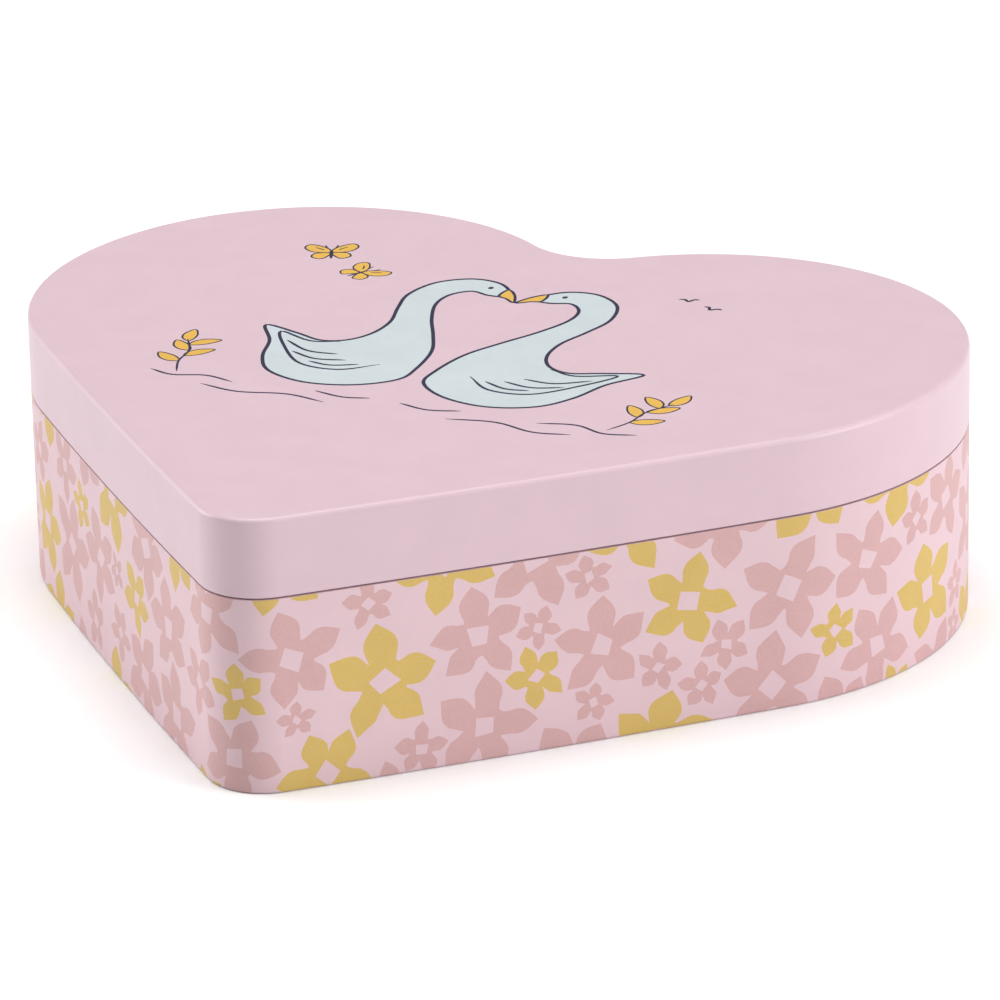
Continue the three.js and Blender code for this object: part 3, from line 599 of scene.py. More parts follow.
def board_core(name, colour):
    """Bare grey-brown board: pressed fibres and darker flecks."""
    made = Finish(name, Roughness=0.9, Specular_IOR_Level=0.2)
    fibres = made.noise(BOARD_FIBRES, 5.0, 0.7)
    flecks = made.cells(2.6)
    base = made.varied(fibres, 0.3, 0.7, shade(colour, 0.82), shade(colour, 1.12))
    made.colour(made.mix(made.ramp(flecks, (0.06, 0.6), (0.16, 0.0)), base, shade(colour, 0.45)))
    made.bump(fibres, 0.6, 0.08)
    return made.material


LID_PAPER = paper("lid_paper", PINK, roughness=0.4)
PRINT_GROUND = paper("print_ground", GROUND)
PRINT_DUSTY = paper("print_dusty", GROUND, DUSTY, 0.2)
PRINT_MUSTARD = paper("print_mustard", GROUND, MUSTARD, 0.14)
ART_MINT = paper("art_mint", PINK, MINT, 0.06, 0.46)
ART_NAVY = paper("art_navy", PINK, NAVY, 0.03, 0.42)
ART_OCHRE = paper("art_ochre", PINK, OCHRE, 0.10, 0.44)
VELVET_PINK = velvet_cloth("velvet_pink", VELVET)
BRASS = metal("satin_brass", linear(214, 178, 104), 0.3)
STEEL = metal("brushed_steel", linear(205, 207, 212), 0.3)
ZINC = cast("cast_zinc_skin", linear(176, 178, 183))
IVORY = moulded("ivory_plastic", linear(244, 238, 226))
WING = moulded("wing_plastic_mustard", linear(230, 190, 92), 0.3)
WING_EDGE = moulded("wing_plastic_navy", linear(58, 58, 88), 0.3)
CORE = board_core("grey_board", linear(186, 168, 142))
GLASS = silvered("mirror_silver")


# ---- Drawing on flat surfaces ----
# A drawing is a list of (loops, ink), in the order they are printed.


def spline(points, closed=False, steps=6):
    """A smooth line through the given points."""
    given = np.array(points, float)
    if closed:
        given = np.concatenate([given[-1:], given, given[:2]])
    else:
        given = np.concatenate([[2 * given[0] - given[1]], given, [2 * given[-1] - given[-2]]])
    line = []
    for a, b, c, d in zip(given, given[1:], given[2:], given[3:]):
        for t in np.arange(steps) / steps:
            near = 2 * b + (c - a) * t
            far = (2 * a - 5 * b + 4 * c - d) * t**2 + (3 * b - a - 3 * c + d) * t**3
            line.append((near + far) / 2)
    if not closed:
        line.append(given[-2])
    return np.array(line)


def sideways(line, closed=False):
    """The unit normal of a line at each of its points."""
    run = unit(np.roll(line, -1, 0) - np.roll(line, 1, 0) if closed else np.gradient(line, axis=0))
    return np.column_stack([-run[:, 1], run[:, 0]])


def contour(shape, width):
    """A pen line round a closed shape, as two loops."""
    offset = sideways(shape, True) * width / 2
    return [shape + offset, (shape - offset)[::-1]]


def pen(line, width):
    """A pen stroke along an open line, thin at its ends."""
    share = np.linspace(0, 1, len(line))
    half = width / 2 * np.minimum(1, 0.3 + np.minimum(share, 1 - share) * 6)
    offset = sideways(line) * half[:, None]
    return [np.concatenate([line + offset, (line - offset)[::-1]])]


def moved(loops, at=(0, 0), scale=1.0, turn=0.0, flip=False):
    """Loops of a small drawing put in place."""
    c, s = math.cos(turn), math.sin(turn)
    turning = np.array([[c, s], [-s, c]]) * scale
    return [(np.asarray(loop) * [-1 if flip else 1, 1]) @ turning + at for loop in loops]


def placed(drawing, *place, **turned):
    """A whole drawing put in place as moved() does."""
    return [(moved(loops, *place, **turned), ink) for loops, ink in drawing]


def disc(at, across, up, sides):
    """A small filled oval."""
    return [heading(angle) * [across, up] + at for angle in np.linspace(0, TAU, sides + 1)[:-1]]


# ---- The lid's drawing: two swans whose necks make a heart, butterflies, leaves and water ----

PEN = 0.72
SWAN = [
    (-1.9, -3.0), (-2.6, -9.6), (-9.0, -15.0), (-18.0, -16.8), (-26.5, -13.6), (-31.0, -7.0),
    (-33.6, 1.2), (-38.0, 8.6), (-31.0, 6.8), (-25.0, 4.6), (-20.4, 6.4), (-17.6, 11.4),
    (-17.2, 18.4), (-19.2, 26.0), (-20.6, 33.6), (-18.6, 41.4), (-13.2, 45.8), (-7.6, 45.6),
    (-3.9, 42.4), (-3.2, 38.9), (-6.4, 38.4), (-10.2, 39.4), (-13.2, 36.0), (-13.4, 30.2),
    (-10.6, 22.4), (-6.6, 14.4), (-3.2, 6.4),
]
BEAK = [(-4.0, 42.6), (-1.6, 40.0), (-0.2, 36.2), (-2.4, 37.8), (-4.4, 38.9)]
WING_LINES = [
    [(-9.0, -3.4), (-15.0, -8.6), (-23.0, -8.0), (-29.6, -0.8), (-33.8, 6.4), (-26.6, 3.6), (-21.0, 5.2)],
    [(-30.6, 2.4), (-24.6, -1.4), (-18.6, -1.2)],
    [(-27.2, -2.6), (-21.6, -4.8), (-15.8, -3.6)],
    [(-22.0, -6.4), (-17.4, -7.0), (-12.6, -4.8)],
]
UPPER_WING = [(0, 0.6), (1.2, 3.6), (4.2, 5.6), (5.4, 3.6), (3.6, 0.9)]
LOWER_WING = [(0, 0.2), (3.2, 0.0), (3.9, -2.2), (2.0, -3.4), (0.6, -1.6)]
INSECT_LINES = [[(0, 1.6), (0.9, 3.4), (1.3, 5.0)], [(1.5, 2.0), (2.3, 2.9), (3.3, 3.7)]]
INSECT = [(0, 2.0), (0.42, 0.6), (0.3, -2.4), (0, -3.4), (-0.3, -2.4), (-0.42, 0.6)]
LEAF = [(0, 0), (1.5, 1.6), (1.6, 4.2), (0, 6.6), (-1.0, 4.0), (-0.9, 1.6)]
STEM = [(0, 0), (2.2, 5.2), (3.0, 11.0), (6.0, 16.4)]
LEAVES = [(6, -62), (9, 38), (12, -48), (15, 46), (17, -14)]
RIPPLES = [
    [(-47, -20.4), (-42, -21.8), (-36, -20.0), (-30, -21.4)],
    [(-35, -24.2), (-27, -25.6), (-18, -23.6), (-10, -25.0)],
    [(-14, -20.2), (-8, -21.4), (-3, -20.2)],
    [(3, -20.6), (9, -22.0), (15, -20.4)],
    [(14, -25.0), (23, -23.4), (31, -25.6), (38, -24.4)],
    [(30, -21.2), (37, -19.6), (43, -21.8), (49, -20.4)],
]
GULL = [(-2.0, 0.8), (-0.9, 1.0), (0, 0), (0.9, 1.2), (1.9, 1.2)]
MINT_INK, NAVY_INK, OCHRE_INK = 1, 2, 3


def outlined(shape, ink, width):
    """A filled shape and the pen line round it."""
    return [([shape], ink), (contour(shape, width), NAVY_INK)]


def stroke(points, width):
    """A pen stroke through some points."""
    return (pen(spline(points), width), NAVY_INK)


def swan(flip):
    """One swan: mint body, ochre beak, pen lines."""
    drawing = outlined(spline(SWAN, True), MINT_INK, PEN)
    drawing += outlined(spline(BEAK, True, 4), OCHRE_INK, PEN * 0.8)
    drawing += [stroke(line, PEN * 0.9) for line in WING_LINES]
    drawing.append(([disc((-7.6, 42.4), 0.55, 0.7, 9)], NAVY_INK))
    return placed(drawing, flip=flip)


def drawn_butterfly(at, scale, turn):
    """A small butterfly with its wings open."""
    half = []
    for wing in (UPPER_WING, LOWER_WING):
        half += outlined(spline(wing, True, 5), OCHRE_INK, 0.4)
    half += [stroke(line, 0.36) for line in INSECT_LINES]
    body = [([spline(INSECT, True, 3)], NAVY_INK)]
    return placed(half, at, scale, turn) + placed(half, at, scale, turn, True) + placed(body, at, scale, turn)


def sprig(at, flip):
    """A leafy stem."""
    stem = spline(STEM)
    drawing = []
    for point, turn in LEAVES:
        leaf = moved([spline(LEAF, True, 4)], stem[point], 0.95, math.radians(turn))[0]
        drawing += outlined(leaf, OCHRE_INK, 0.36)
    drawing.append((pen(stem, 0.45), NAVY_INK))
    return placed(drawing, at, flip=flip)


def lid_drawing():
    """Every printed shape on the lid, in the order they are printed."""
    drawing = sprig((-42, -20), True) + sprig((43, -20), False)
    drawing += swan(False) + swan(True)
    drawing += [stroke(line, 0.6) for line in RIPPLES]
    drawing += drawn_butterfly((-44.5, 50), 0.95, 0.42) + drawn_butterfly((-34.5, 41.5), 0.85, -0.49)
    drawing += placed([stroke(GULL, 0.62)], (30, 48.5), 1.0, 0.17)
    drawing += placed([stroke(GULL, 0.62)], (35.5, 45.6), 1.0, -0.28)
    return drawing


# ---- The base's print: scattered five-petalled flowers ----

# Radius range, and how many places are tried for flowers of that size.
FLOWER_SIZES = [((9.2, 10.6), 2500), ((7.2, 8.4), 3500), ((5.2, 6.4), 3500), ((3.6, 4.6), 3000)]
FLOWER_GAP = 0.6
CENTRES_APART = 0.62  # least distance between two flowers' centres, as a share of their radii
OVERHANG = 5  # how far beyond the wall's edges a flower's centre may lie
NUDGE, TWIST, SWELLS = 0.6, 0.12, (1.0, 1.03, 1.06)
GROWTH_ROUNDS = 30
GROWTH_LIMIT = 11.4
FLOWER_KINDS = 14
TURNS_TRIED = 5
DUSTY_INK, MUSTARD_INK = 1, 2
MUSTARD_APART = 18.5
LAP_MARGIN = 15  # a flower this near the print's joint is drawn at both of its ends


def petal(chance, direction):
    """One petal of a flower of radius 1: full shoulders, then a slightly skewed point."""
    skew = chance.uniform(-0.2, 0.2)
    length = chance.uniform(0.82, 1.0)
    wide = chance.uniform(0.84, 1.12)
    shoulder = [(0.48, 0.24), (0.62, 0.262), (0.79, 0.2)]
    right = [(u * length, -v * wide + skew * u * 0.4) for u, v in shoulder]
    left = [(u * length, v * wide + skew * u * 0.4) for u, v in shoulder[::-1]]
    lean = chance.uniform(-0.02, 0.02)
    line = [(0.31 + lean, -0.215), *right, (length, skew), *left, (0.31 - lean, 0.215)]
    halves = [spline(line[:5], steps=5)[:-1], spline(line[4:], steps=5)[:-1]]
    return moved([np.concatenate(halves)], turn=direction)[0]


def flower_kinds():
    """A few different flowers of radius 1, each an outline and the small gap at its centre."""
    chance = random.Random(3)
    kinds = []
    for _ in range(FLOWER_KINDS):
        petals = [petal(chance, TAU * k / 5 + chance.uniform(-0.07, 0.07)) for k in range(5)]
        tilt = chance.uniform(0, TAU)
        gap = [
            heading(tilt + TAU * k / 4 + chance.uniform(-0.22, 0.22)) * chance.uniform(0.21, 0.28)
            for k in range(4)
        ]
        kinds.append((np.concatenate(petals), np.array(gap)))
    return kinds


def clear_of(outline, others):
    """Whether a flower keeps its distance from each of its neighbours."""
    for other in others:
        squares = (outline**2).sum(1)[:, None] + (other**2).sum(1) - 2 * outline @ other.T
        if squares.min() < FLOWER_GAP**2:
            return False
    return True


def way_from(spots, at):
    """The shorter way round the box from each spot to a place, and its length."""
    way = at - spots
    way[:, 0] -= np.round(way[:, 0] / GIRTH) * GIRTH
    return way, np.hypot(*way.T)


def neighbours(flowers, spots, reaches, at, reach, skip=None):
    """The outlines of the flowers near a place, brought the shorter way round the box towards it."""
    way, far = way_from(spots, at)
    near = [k for k in np.where(far < reaches + reach + FLOWER_GAP)[0] if k != skip]
    return [flowers[k][0] + (at - way[k] - spots[k]) for k in near]


def scattered(low, high):
    """Flowers packed over the whole band, large ones first, as (outline, centre gap, spot)."""
    chance = random.Random(11)
    kinds = flower_kinds()
    spots, reaches, flowers = np.zeros((0, 2)), np.zeros(0), []
    for (small, large), tries in FLOWER_SIZES:
        for _ in range(tries):
            at = np.array([chance.uniform(0, GIRTH), chance.uniform(low - OVERHANG, high + OVERHANG)])
            radius = chance.uniform(small, large)
            if (way_from(spots, at)[1] < CENTRES_APART * (reaches + radius)).any():
                continue
            others = neighbours(flowers, spots, reaches, at, radius)
            for _ in range(TURNS_TRIED):
                outline, gap = moved(chance.choice(kinds), at, radius, chance.uniform(0, TAU))
                if clear_of(outline, others):
                    flowers.append((outline, gap, at))
                    spots = np.vstack([spots, at])
                    reaches = np.append(reaches, radius)
                    break
    return grown(flowers, spots, reaches)


def grown(flowers, spots, reaches):
    """The same flowers nudged, turned and enlarged a little at a time, until they fill the band."""
    chance = random.Random(29)
    for _ in range(GROWTH_ROUNDS):
        for k, (outline, gap, at) in enumerate(flowers):
            scale = chance.choice(SWELLS)
            if reaches[k] * scale > GROWTH_LIMIT:
                scale = 1.0
            turn = chance.uniform(-TWIST, TWIST)
            step = at + [chance.uniform(-NUDGE, NUDGE), chance.uniform(-NUDGE, NUDGE)]
            others = neighbours(flowers, spots, reaches, step, reaches[k] * scale, skip=k)
            new, new_gap = moved([outline - at, gap - at], step, scale, turn)
            if clear_of(new, others):
                flowers[k] = (new, new_gap, step)
                spots[k] = step
                reaches[k] *= scale
    return flowers


def flower_print(low, high):
    """The printed shapes in (along, up the section), mustard flowers spread out among dusty ones."""
    flowers = scattered(low, high)
    spots = np.array([spot for _, _, spot in flowers])
    order = list(range(len(flowers)))
    random.Random(5).shuffle(order)
    mustard = []
    for k in order:
        if (way_from(spots[mustard], spots[k])[1] > MUSTARD_APART).all():
            mustard.append(k)
    shapes = []
    for k, (outline, gap, spot) in enumerate(flowers):
        ink = MUSTARD_INK if k in mustard else DUSTY_INK
        for lap in (-GIRTH, 0, GIRTH):
            if -LAP_MARGIN < spot[0] + lap < GIRTH + LAP_MARGIN:
                shapes.append(([outline + [lap, 0]], ink))
                shapes.append(([gap + [lap, 0]], 0))
    return shapes


# ---- The paper-covered box ----

REPLACED = set()  # the CAD nodes that have a new piece in their place


def stands_for(piece, slot, *nodes):
    """Puts a piece in place of CAD nodes: hides them and notes them as replaced. The slot is not used."""
    if nodes:
        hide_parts(*nodes)
    REPLACED.update(nodes)


def ride(piece, body, slot, *nodes):
    """Puts a finished piece on its body, in place of CAD nodes."""
    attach(piece, body)
    stands_for(piece, slot, *nodes)


def wall(name, corners, materials, body, slot, node, **printed):
    """A section swept round the heart, in place of a CAD node."""
    ride(swept(name, rounded(corners), materials, **printed), body, slot, node)


def base_wall():
    """The base's wall in printed paper, with a seat for each hinge's lower leaf."""
    corners = [
        (WALL, 0, SEAM_EDGE_R), (0, 0, BOTTOM_EDGE_R), (0, SEAM, SEAM_EDGE_R), (WALL, SEAM, SEAM_EDGE_R),
    ]
    section = rounded(corners)
    climb, side = climbed(section), outer_side(section)
    # The print ends halfway round the rounded edges.
    low = climb[side] - BOTTOM_EDGE_R * math.pi / 4
    high = climb[side + 1] + SEAM_EDGE_R * math.pi / 4
    shapes = [([clipped(loop, low, high) for loop in loops], ink) for loops, ink in flower_print(low, high)]
    shapes = [(loops, ink) for loops, ink in shapes if len(loops[0]) > 2]
    inks = [PRINT_GROUND, PRINT_DUSTY, PRINT_MUSTARD]
    seat = (BASE_SEAT_Z, SEAM)
    wall("base_wall_print", corners, inks, "case", "printed_paper", "base_wall", shapes=shapes, seat=seat)


def clipped(loop, low, high):
    """A loop cut off at a lowest and a highest second coordinate."""
    for limit, side in ((low, 1), (high, -1)):
        kept = []
        for a, b in zip(loop, np.roll(loop, -1, axis=0)):
            da, db = (a[1] - limit) * side, (b[1] - limit) * side
            if da >= 0:
                kept.append(a)
            if (da < 0) != (db < 0):
                kept.append(a + (b - a) * da / (da - db))
        if len(kept) < 3:
            return []
        loop = np.array(kept)
    return loop


def lid_shell():
    """The lid's rim with a seat for each hinge's upper leaf, and its panel with the drawing."""
    rim = [(WALL, LID_BOTTOM, SEAM_EDGE_R), (0, LID_BOTTOM, SEAM_EDGE_R), (0, PANEL_Z, 0), (WALL, PANEL_Z, 0)]
    seat = (LID_BOTTOM, LID_SEAT_Z)
    wall("lid_rim_paper", rim, [LID_PAPER], "lid", "pink_paper", "lid_rim", seat=seat)
    section = rounded([(WALL, PANEL_Z, 0), (0, PANEL_Z, 0), (0, HEIGHT, TOP_EDGE_R), (WALL, HEIGHT, 0)], 7)
    side = section[(section[:, 2:, 0] > 1e-6).any(1)]  # the stretches that face outwards
    inks = [LID_PAPER, ART_MINT, ART_NAVY, ART_OCHRE]
    made = slab("lid_panel_drawing", side, inks, lid_drawing())
    ride(made, "lid", "pink_paper", "lid_panel")


# ---- Inside the box ----

RECORD_SLOTS = {part["node"]: part["material_slot"] for part in frame["record"]["subparts"]}
FINISHES = {
    "pink_paper": LID_PAPER,
    "printed_paper": PRINT_GROUND,
    "velvet": VELVET_PINK,
    "board": CORE,
    "mirror": GLASS,
    "brass": BRASS,
    "spring_steel": STEEL,
    "cast_zinc": ZINC,
    "white_plastic": IVORY,
    "wing_plastic": WING,
}
# Rounding of the refined parts' edges: width in mm, segments, and name starts. The first match counts.
SMALL_PARTS = ("spindle", "hinge_", "bedplate_screw", "comb_screw", "cylinder_bracket", "governor_bracket")
EDGES = [
    (1.1, 5, "divider_"),
    (0.7, 4, "platform"),
    (0.5, 3, "mirror"),
    (0.35, 2, "base_floor"),
    (0.25, 3, "winding_key"),
    (0.2, 2, "spring_housing"),
    (0.08, 2, "spindle_post"),
    (0.12, 2, SMALL_PARTS),
    (0.15, 2, ("stop_wire", "comb_base", "bedplate")),
]
SOFT_ANGLE = math.radians(32)


def bare_copy(node):
    """A CAD node's shape as a new mesh: joined corners, whole flat faces, no stored normals."""
    mesh = NODES[node].data.copy()
    if "custom_normal" in mesh.attributes:
        mesh.attributes.remove(mesh.attributes["custom_normal"])
    build = bmesh.new()
    build.from_mesh(mesh)
    bmesh.ops.remove_doubles(build, verts=build.verts, dist=2e-6)
    bmesh.ops.dissolve_limit(build, angle_limit=math.radians(0.4), verts=build.verts, edges=build.edges)
    build.to_mesh(mesh)
    build.free()
    return mesh


def refined(node):
    """A CAD node with softened edges and smooth round faces, standing in for the plain one."""
    mesh = bare_copy(node)
    mesh.name = node + "_finished"
    mesh.shade_smooth()
    mesh.set_sharp_from_angle(angle=SOFT_ANGLE)
    mesh.materials.clear()
    mesh.materials.append(FINISHES[RECORD_SLOTS[node]])
    if node == "base_floor":
        covered(mesh, VELVET_PINK)
    made = added(node + "_finished", mesh)
    width, segments = next(((w, n) for w, n, starts in EDGES if node.startswith(starts)), (0, 0))
    if width:
        soften = made.modifiers.new("soft_edges", "BEVEL")
        soften.width, soften.segments = width * MM, segments
        soften.limit_method, soften.angle_limit = "ANGLE", SOFT_ANGLE
        soften.harden_normals = True
    ride(made, NODES[node]["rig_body"], RECORD_SLOTS[node], node)


def covered(mesh, material):
    """Lays a second material on the faces of a mesh that look straight up."""
    mesh.materials.append(material)
    for face in mesh.polygons:
        if face.normal.z > 0.99:
            face.material_index = 1


def linings():
    """Velvet round the inside of the base and of the lid, and under the lid's panel."""
    inner, outer = LINING_INSET + LINING, LINING_INSET
    base_top, lid_bottom, ceiling = BASE_LINING_TOP, LID_LINING_BOTTOM, PANEL_Z - LINING
    base = [(inner, FLOOR_TOP, 0), (outer, FLOOR_TOP, 0), (outer, base_top, 0.3), (inner, base_top, 0.4)]
    lid = [(inner, lid_bottom, 0.4), (outer, lid_bottom, 0.3), (outer, ceiling, 0), (inner, ceiling, 0)]
    wall("base_lining_velvet", base, [VELVET_PINK], "case", "velvet", "base_lining")
    wall("lid_lining_wall", lid, [VELVET_PINK], "lid", "velvet", "lid_lining")
    edge = np.array([[[-outer, ceiling], [-outer, PANEL_Z], [1, 0], [1, 0]]])
    made = slab("lid_lining_top", edge, [VELVET_PINK])
    ride(made, "lid", "velvet", "lid_lining")


PAD_VOXEL = 1.3
PAD_START = 0.45  # how much thinner a pad is before it swells
PAD_GROWN = 8.0  # the cloth is simulated this many times larger, at the size of a cushion
PAD_PRESSURE = 4.0
PAD_FRAMES = 20
PAD_CAP = 0.9  # the furthest that a point may swell
PAD_SIDEWAYS = 0.3  # the share of the swelling that goes sideways
PAD_LIFT, PAD_LEAST_LIFT = 0.1, 0.03  # clearance from the floor before and after


def swollen(made, start):
    """Vertices of a pad after its cover has been blown up as cloth, within limits."""
    set_vertices(made, start * PAD_GROWN)
    cloth = made.modifiers.new("cloth", "CLOTH")
    cloth.settings.use_pressure = True
    cloth.settings.uniform_pressure_force = PAD_PRESSURE
    cloth.settings.effector_weights.gravity = 0.0
    cloth.collision_settings.use_collision = False
    scene = bpy.context.scene
    for number in range(1, PAD_FRAMES + 1):
        scene.frame_set(number)
    settle(made)
    scene.frame_set(1)
    blown = vertices(made) / PAD_GROWN - start
    length = np.linalg.norm(blown, axis=1)[:, None]
    blown *= np.minimum(1, PAD_CAP * MM / np.maximum(length, 1e-9))
    blown[:, :2] *= PAD_SIDEWAYS
    return start + blown


def pad(node):
    """A thin velvet-covered foam pad: a slightly smaller solid, blown up as cloth and set down flat."""
    low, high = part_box(node)
    made = added(node + "_velvet", bare_copy(node))
    remesh = made.modifiers.new("remesh", "REMESH")
    remesh.mode, remesh.voxel_size = "VOXEL", PAD_VOXEL * MM
    settle(made)
    shape = vertices(made)
    shape[:, 2] = low.z + PAD_LIFT * MM + (shape[:, 2] - low.z) * (1 - PAD_START * MM / (high.z - low.z))
    shape = swollen(made, shape)
    shape[:, 2] = np.maximum(shape[:, 2], low.z + PAD_LEAST_LIFT * MM)
    set_vertices(made, shape)
    smoother = made.modifiers.new("smooth", "SMOOTH")
    smoother.factor, smoother.iterations = 0.5, 6
    finer = made.modifiers.new("finer", "SUBSURF")
    finer.levels = finer.render_levels = 1
    settle(made)
    made.data.shade_smooth()
    made.data.materials.clear()
    made.data.materials.append(VELVET_PINK)
    ride(made, "case", "velvet", node)


def vertices(made):
    """An object's vertices as an array."""
    flat = np.zeros(len(made.data.vertices) * 3)
    made.data.vertices.foreach_get("co", flat)
    return flat.reshape(-1, 3)


def set_vertices(made, points):
    made.data.vertices.foreach_set("co", points.ravel())
    made.data.update()


def settle(made):
    """Applies an object's modifiers to its mesh."""
    seen = made.evaluated_get(bpy.context.evaluated_depsgraph_get())
    final = bpy.data.meshes.new_from_object(seen)
    made.modifiers.clear()
    made.data = final


# ---- The butterfly on its spring ----

BEND_R = 4.5
BEND_SHARPNESS = 0.45  # 1 bends the spring along a circle, less bends it more at its middle
COIL_R, WIRE_R, TURNS = 1.3, 0.25, 6
STEPS_PER_TURN = 28
SMOOTHED_OVER = 15  # steps over which the spring's direction is averaged
SPRING_FOOT = np.array([0.0, 17.0, 36.5])
SPRING_TIP = SPRING_FOOT + [0.0, -BEND_R, BEND_R]
FIGURE_AT = SPRING_TIP - [0.0, WIRE_R + 0.1, 0.0]
DIHEDRAL = math.radians(12)
WINGS_BEHIND, WINGS_UP, WING_THICK = 1.4, 3.0, 0.6
WING_CUP = 0.003  # how fast the wings curve back, per mm
WING_RIM = 0.18  # how far the rounded rim stands out


def tube(name, path, radius, sides, materials, taper=None):
    """A round bar along a path, with flat ends."""
    path = np.asarray(path, float)
    run = unit(np.gradient(path, axis=0))
    side = np.cross(run[0], [0.3, 0.9, 0.2])
    around = [heading(TAU * j / sides) for j in range(sides)]
    swell = np.ones(len(path)) if taper is None else taper
    points, faces = [], []
    for at, along, r in zip(path, run, radius * swell):
        side = side - along * (side @ along)
        side /= np.linalg.norm(side)
        other = np.cross(along, side)
        points += [at + r * (c * side + s * other) for c, s in around]
    for k in range(len(path) - 1):
        faces += ring_faces(k * sides, sides)
    faces.append(list(range(sides))[::-1])
    faces.append([(len(path) - 1) * sides + j for j in range(sides)])
    made = make_object(name, points, faces, materials)
    made.data.set_sharp_from_angle(angle=math.radians(50))
    return made


def spring_line():
    """The spring's centre line, a quarter turn from upright to level: points (y, z) and directions."""
    angles = np.linspace(0, math.pi / 2, 400)
    y = SPRING_TIP[1] + BEND_R * np.cos(angles) ** BEND_SHARPNESS
    z = SPRING_FOOT[2] + BEND_R * np.sin(angles) ** BEND_SHARPNESS
    line = np.column_stack([y, z])
    length = np.concatenate([[0], np.cumsum(np.linalg.norm(np.diff(line, axis=0), axis=1))])
    spots = np.linspace(0, length[-1], TURNS * STEPS_PER_TURN + 1)
    line = np.column_stack([np.interp(spots, length, y), np.interp(spots, length, z)])
    run = unit(np.gradient(line, axis=0))
    edge = SMOOTHED_OVER // 2
    padded = np.pad(run, ((edge, edge), (0, 0)), mode="edge")
    kernel = np.ones(SMOOTHED_OVER) / SMOOTHED_OVER
    return line, unit(np.column_stack([np.convolve(padded[:, k], kernel, "valid") for k in range(2)]))


def spring():
    """The coil spring, bent a quarter turn, in place of the CAD spring."""
    line, run = spring_line()
    turn = np.linspace(0, TAU * TURNS, len(line))
    path = np.column_stack([
        COIL_R * np.sin(turn),
        line[:, 0] + COIL_R * np.cos(turn) * run[:, 1],
        line[:, 1] - COIL_R * np.cos(turn) * run[:, 0],
    ])
    made = tube("figure_spring_coil", path, WIRE_R, 8, [STEEL])
    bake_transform(made)
    stands_for(made, "spring_steel", "figure_spring")


def laid(points):
    """Points of the figure, made upright with x across, y towards its back and z up, laid forward."""
    points = np.asarray(points, float)
    return np.column_stack([points[:, 0], -points[:, 2], points[:, 1]]) + FIGURE_AT


# Radius and height up the body: plug, ringed tail, chest and head.
BODY_SECTION = [
    (0.0, 0.0), (1.9, 0.0), (2.1, 0.25), (2.1, 1.6), (1.85, 2.1), (1.15, 2.8), (0.72, 3.4), (0.62, 3.9),
    (0.78, 4.4), (0.72, 4.9), (0.9, 5.4), (0.84, 5.9), (0.98, 6.4), (0.9, 6.9), (1.0, 7.4), (0.92, 7.9),
    (0.98, 8.4), (0.86, 8.9), (0.72, 9.4), (0.98, 10.1), (1.06, 11.0), (1.02, 11.9), (0.84, 12.8),
    (0.6, 13.3), (0.72, 13.7), (0.92, 14.3), (0.94, 14.9), (0.78, 15.5), (0.4, 15.9), (0.0, 16.0),
]
BODY_SIDES = 28
FEELER = [(0.35, 0, 15.4), (0.9, -0.15, 16.6), (1.7, -0.3, 17.7), (2.3, -0.25, 18.5)]


def torso():
    """The figure's plug, ringed tail, chest and head, turned in one piece, and its two feelers."""
    profile = np.array(BODY_SECTION)
    fine = spline(profile[1:-1], steps=3)
    around = np.linspace(0, TAU, BODY_SIDES + 1)[:-1]
    points = [[0, 0, fine[0][1]]]
    points += [[r * math.cos(a), r * math.sin(a), z] for r, z in fine for a in around]
    points.append([0, 0, profile[-1][1]])
    top = 1 + (len(fine) - 1) * BODY_SIDES
    faces = []
    for first in range(1, top, BODY_SIDES):
        faces += ring_faces(first, BODY_SIDES)
    for j in range(BODY_SIDES):
        beside = (j + 1) % BODY_SIDES
        faces += [[0, 1 + beside, 1 + j], [top + j, top + beside, len(points) - 1]]
    made = make_object("butterfly_body_sculpted", laid(points), faces, [IVORY])
    made.data.set_sharp_from_angle(angle=math.radians(60))
    ride(made, "figure", "white_plastic", "butterfly_body")
    for name, side in (("left", -1), ("right", 1)):
        line = spline(np.array(FEELER) * [side, 1, 1])
        swell = np.interp(np.linspace(0, 1, len(line)), [0, 0.75, 0.9, 1], [1, 0.65, 1.7, 0.9])
        feeler = tube(f"butterfly_feeler_{name}", laid(line), 0.2, 10, [IVORY], swell)
        ride(feeler, "figure", "white_plastic")


FRONT_WING = [
    (-0.2, 8.8), (2.4, 12.0), (6.2, 14.1), (10.4, 14.6), (12.8, 13.2), (12.4, 10.6), (10.8, 8.4), (8.4, 6.9),
    (4.6, 6.3), (-0.2, 6.6),
]
HIND_WING = [
    (-0.2, 6.9), (4.0, 6.7), (7.8, 6.3), (9.9, 4.4), (9.6, 1.8), (7.4, 0.3), (4.6, 0.9), (2.0, 3.2),
    (-0.2, 4.6),
]
WING_VEINS = [
    [(0.6, 7.9), (4.4, 10.8), (8.6, 12.9)],
    [(0.8, 7.7), (5.2, 9.9), (10.4, 11.2)],
    [(1.0, 7.4), (5.6, 8.3), (9.2, 8.9)],
    [(0.8, 6.2), (4.6, 5.0), (8.2, 3.6)],
    [(0.8, 5.9), (3.9, 3.8), (6.4, 2.0)],
]
WING_SPOTS = [((10.1, 12.7), 0.62), ((11.0, 10.6), 0.5), ((8.6, 2.5), 0.5)]
RIM_INK, FIELD_INK, SPOT_INK = 1, 2, 3


def shrunken(loop, share):
    """A loop drawn in towards its middle."""
    middle = loop.mean(0)
    return middle + (loop - middle) * share


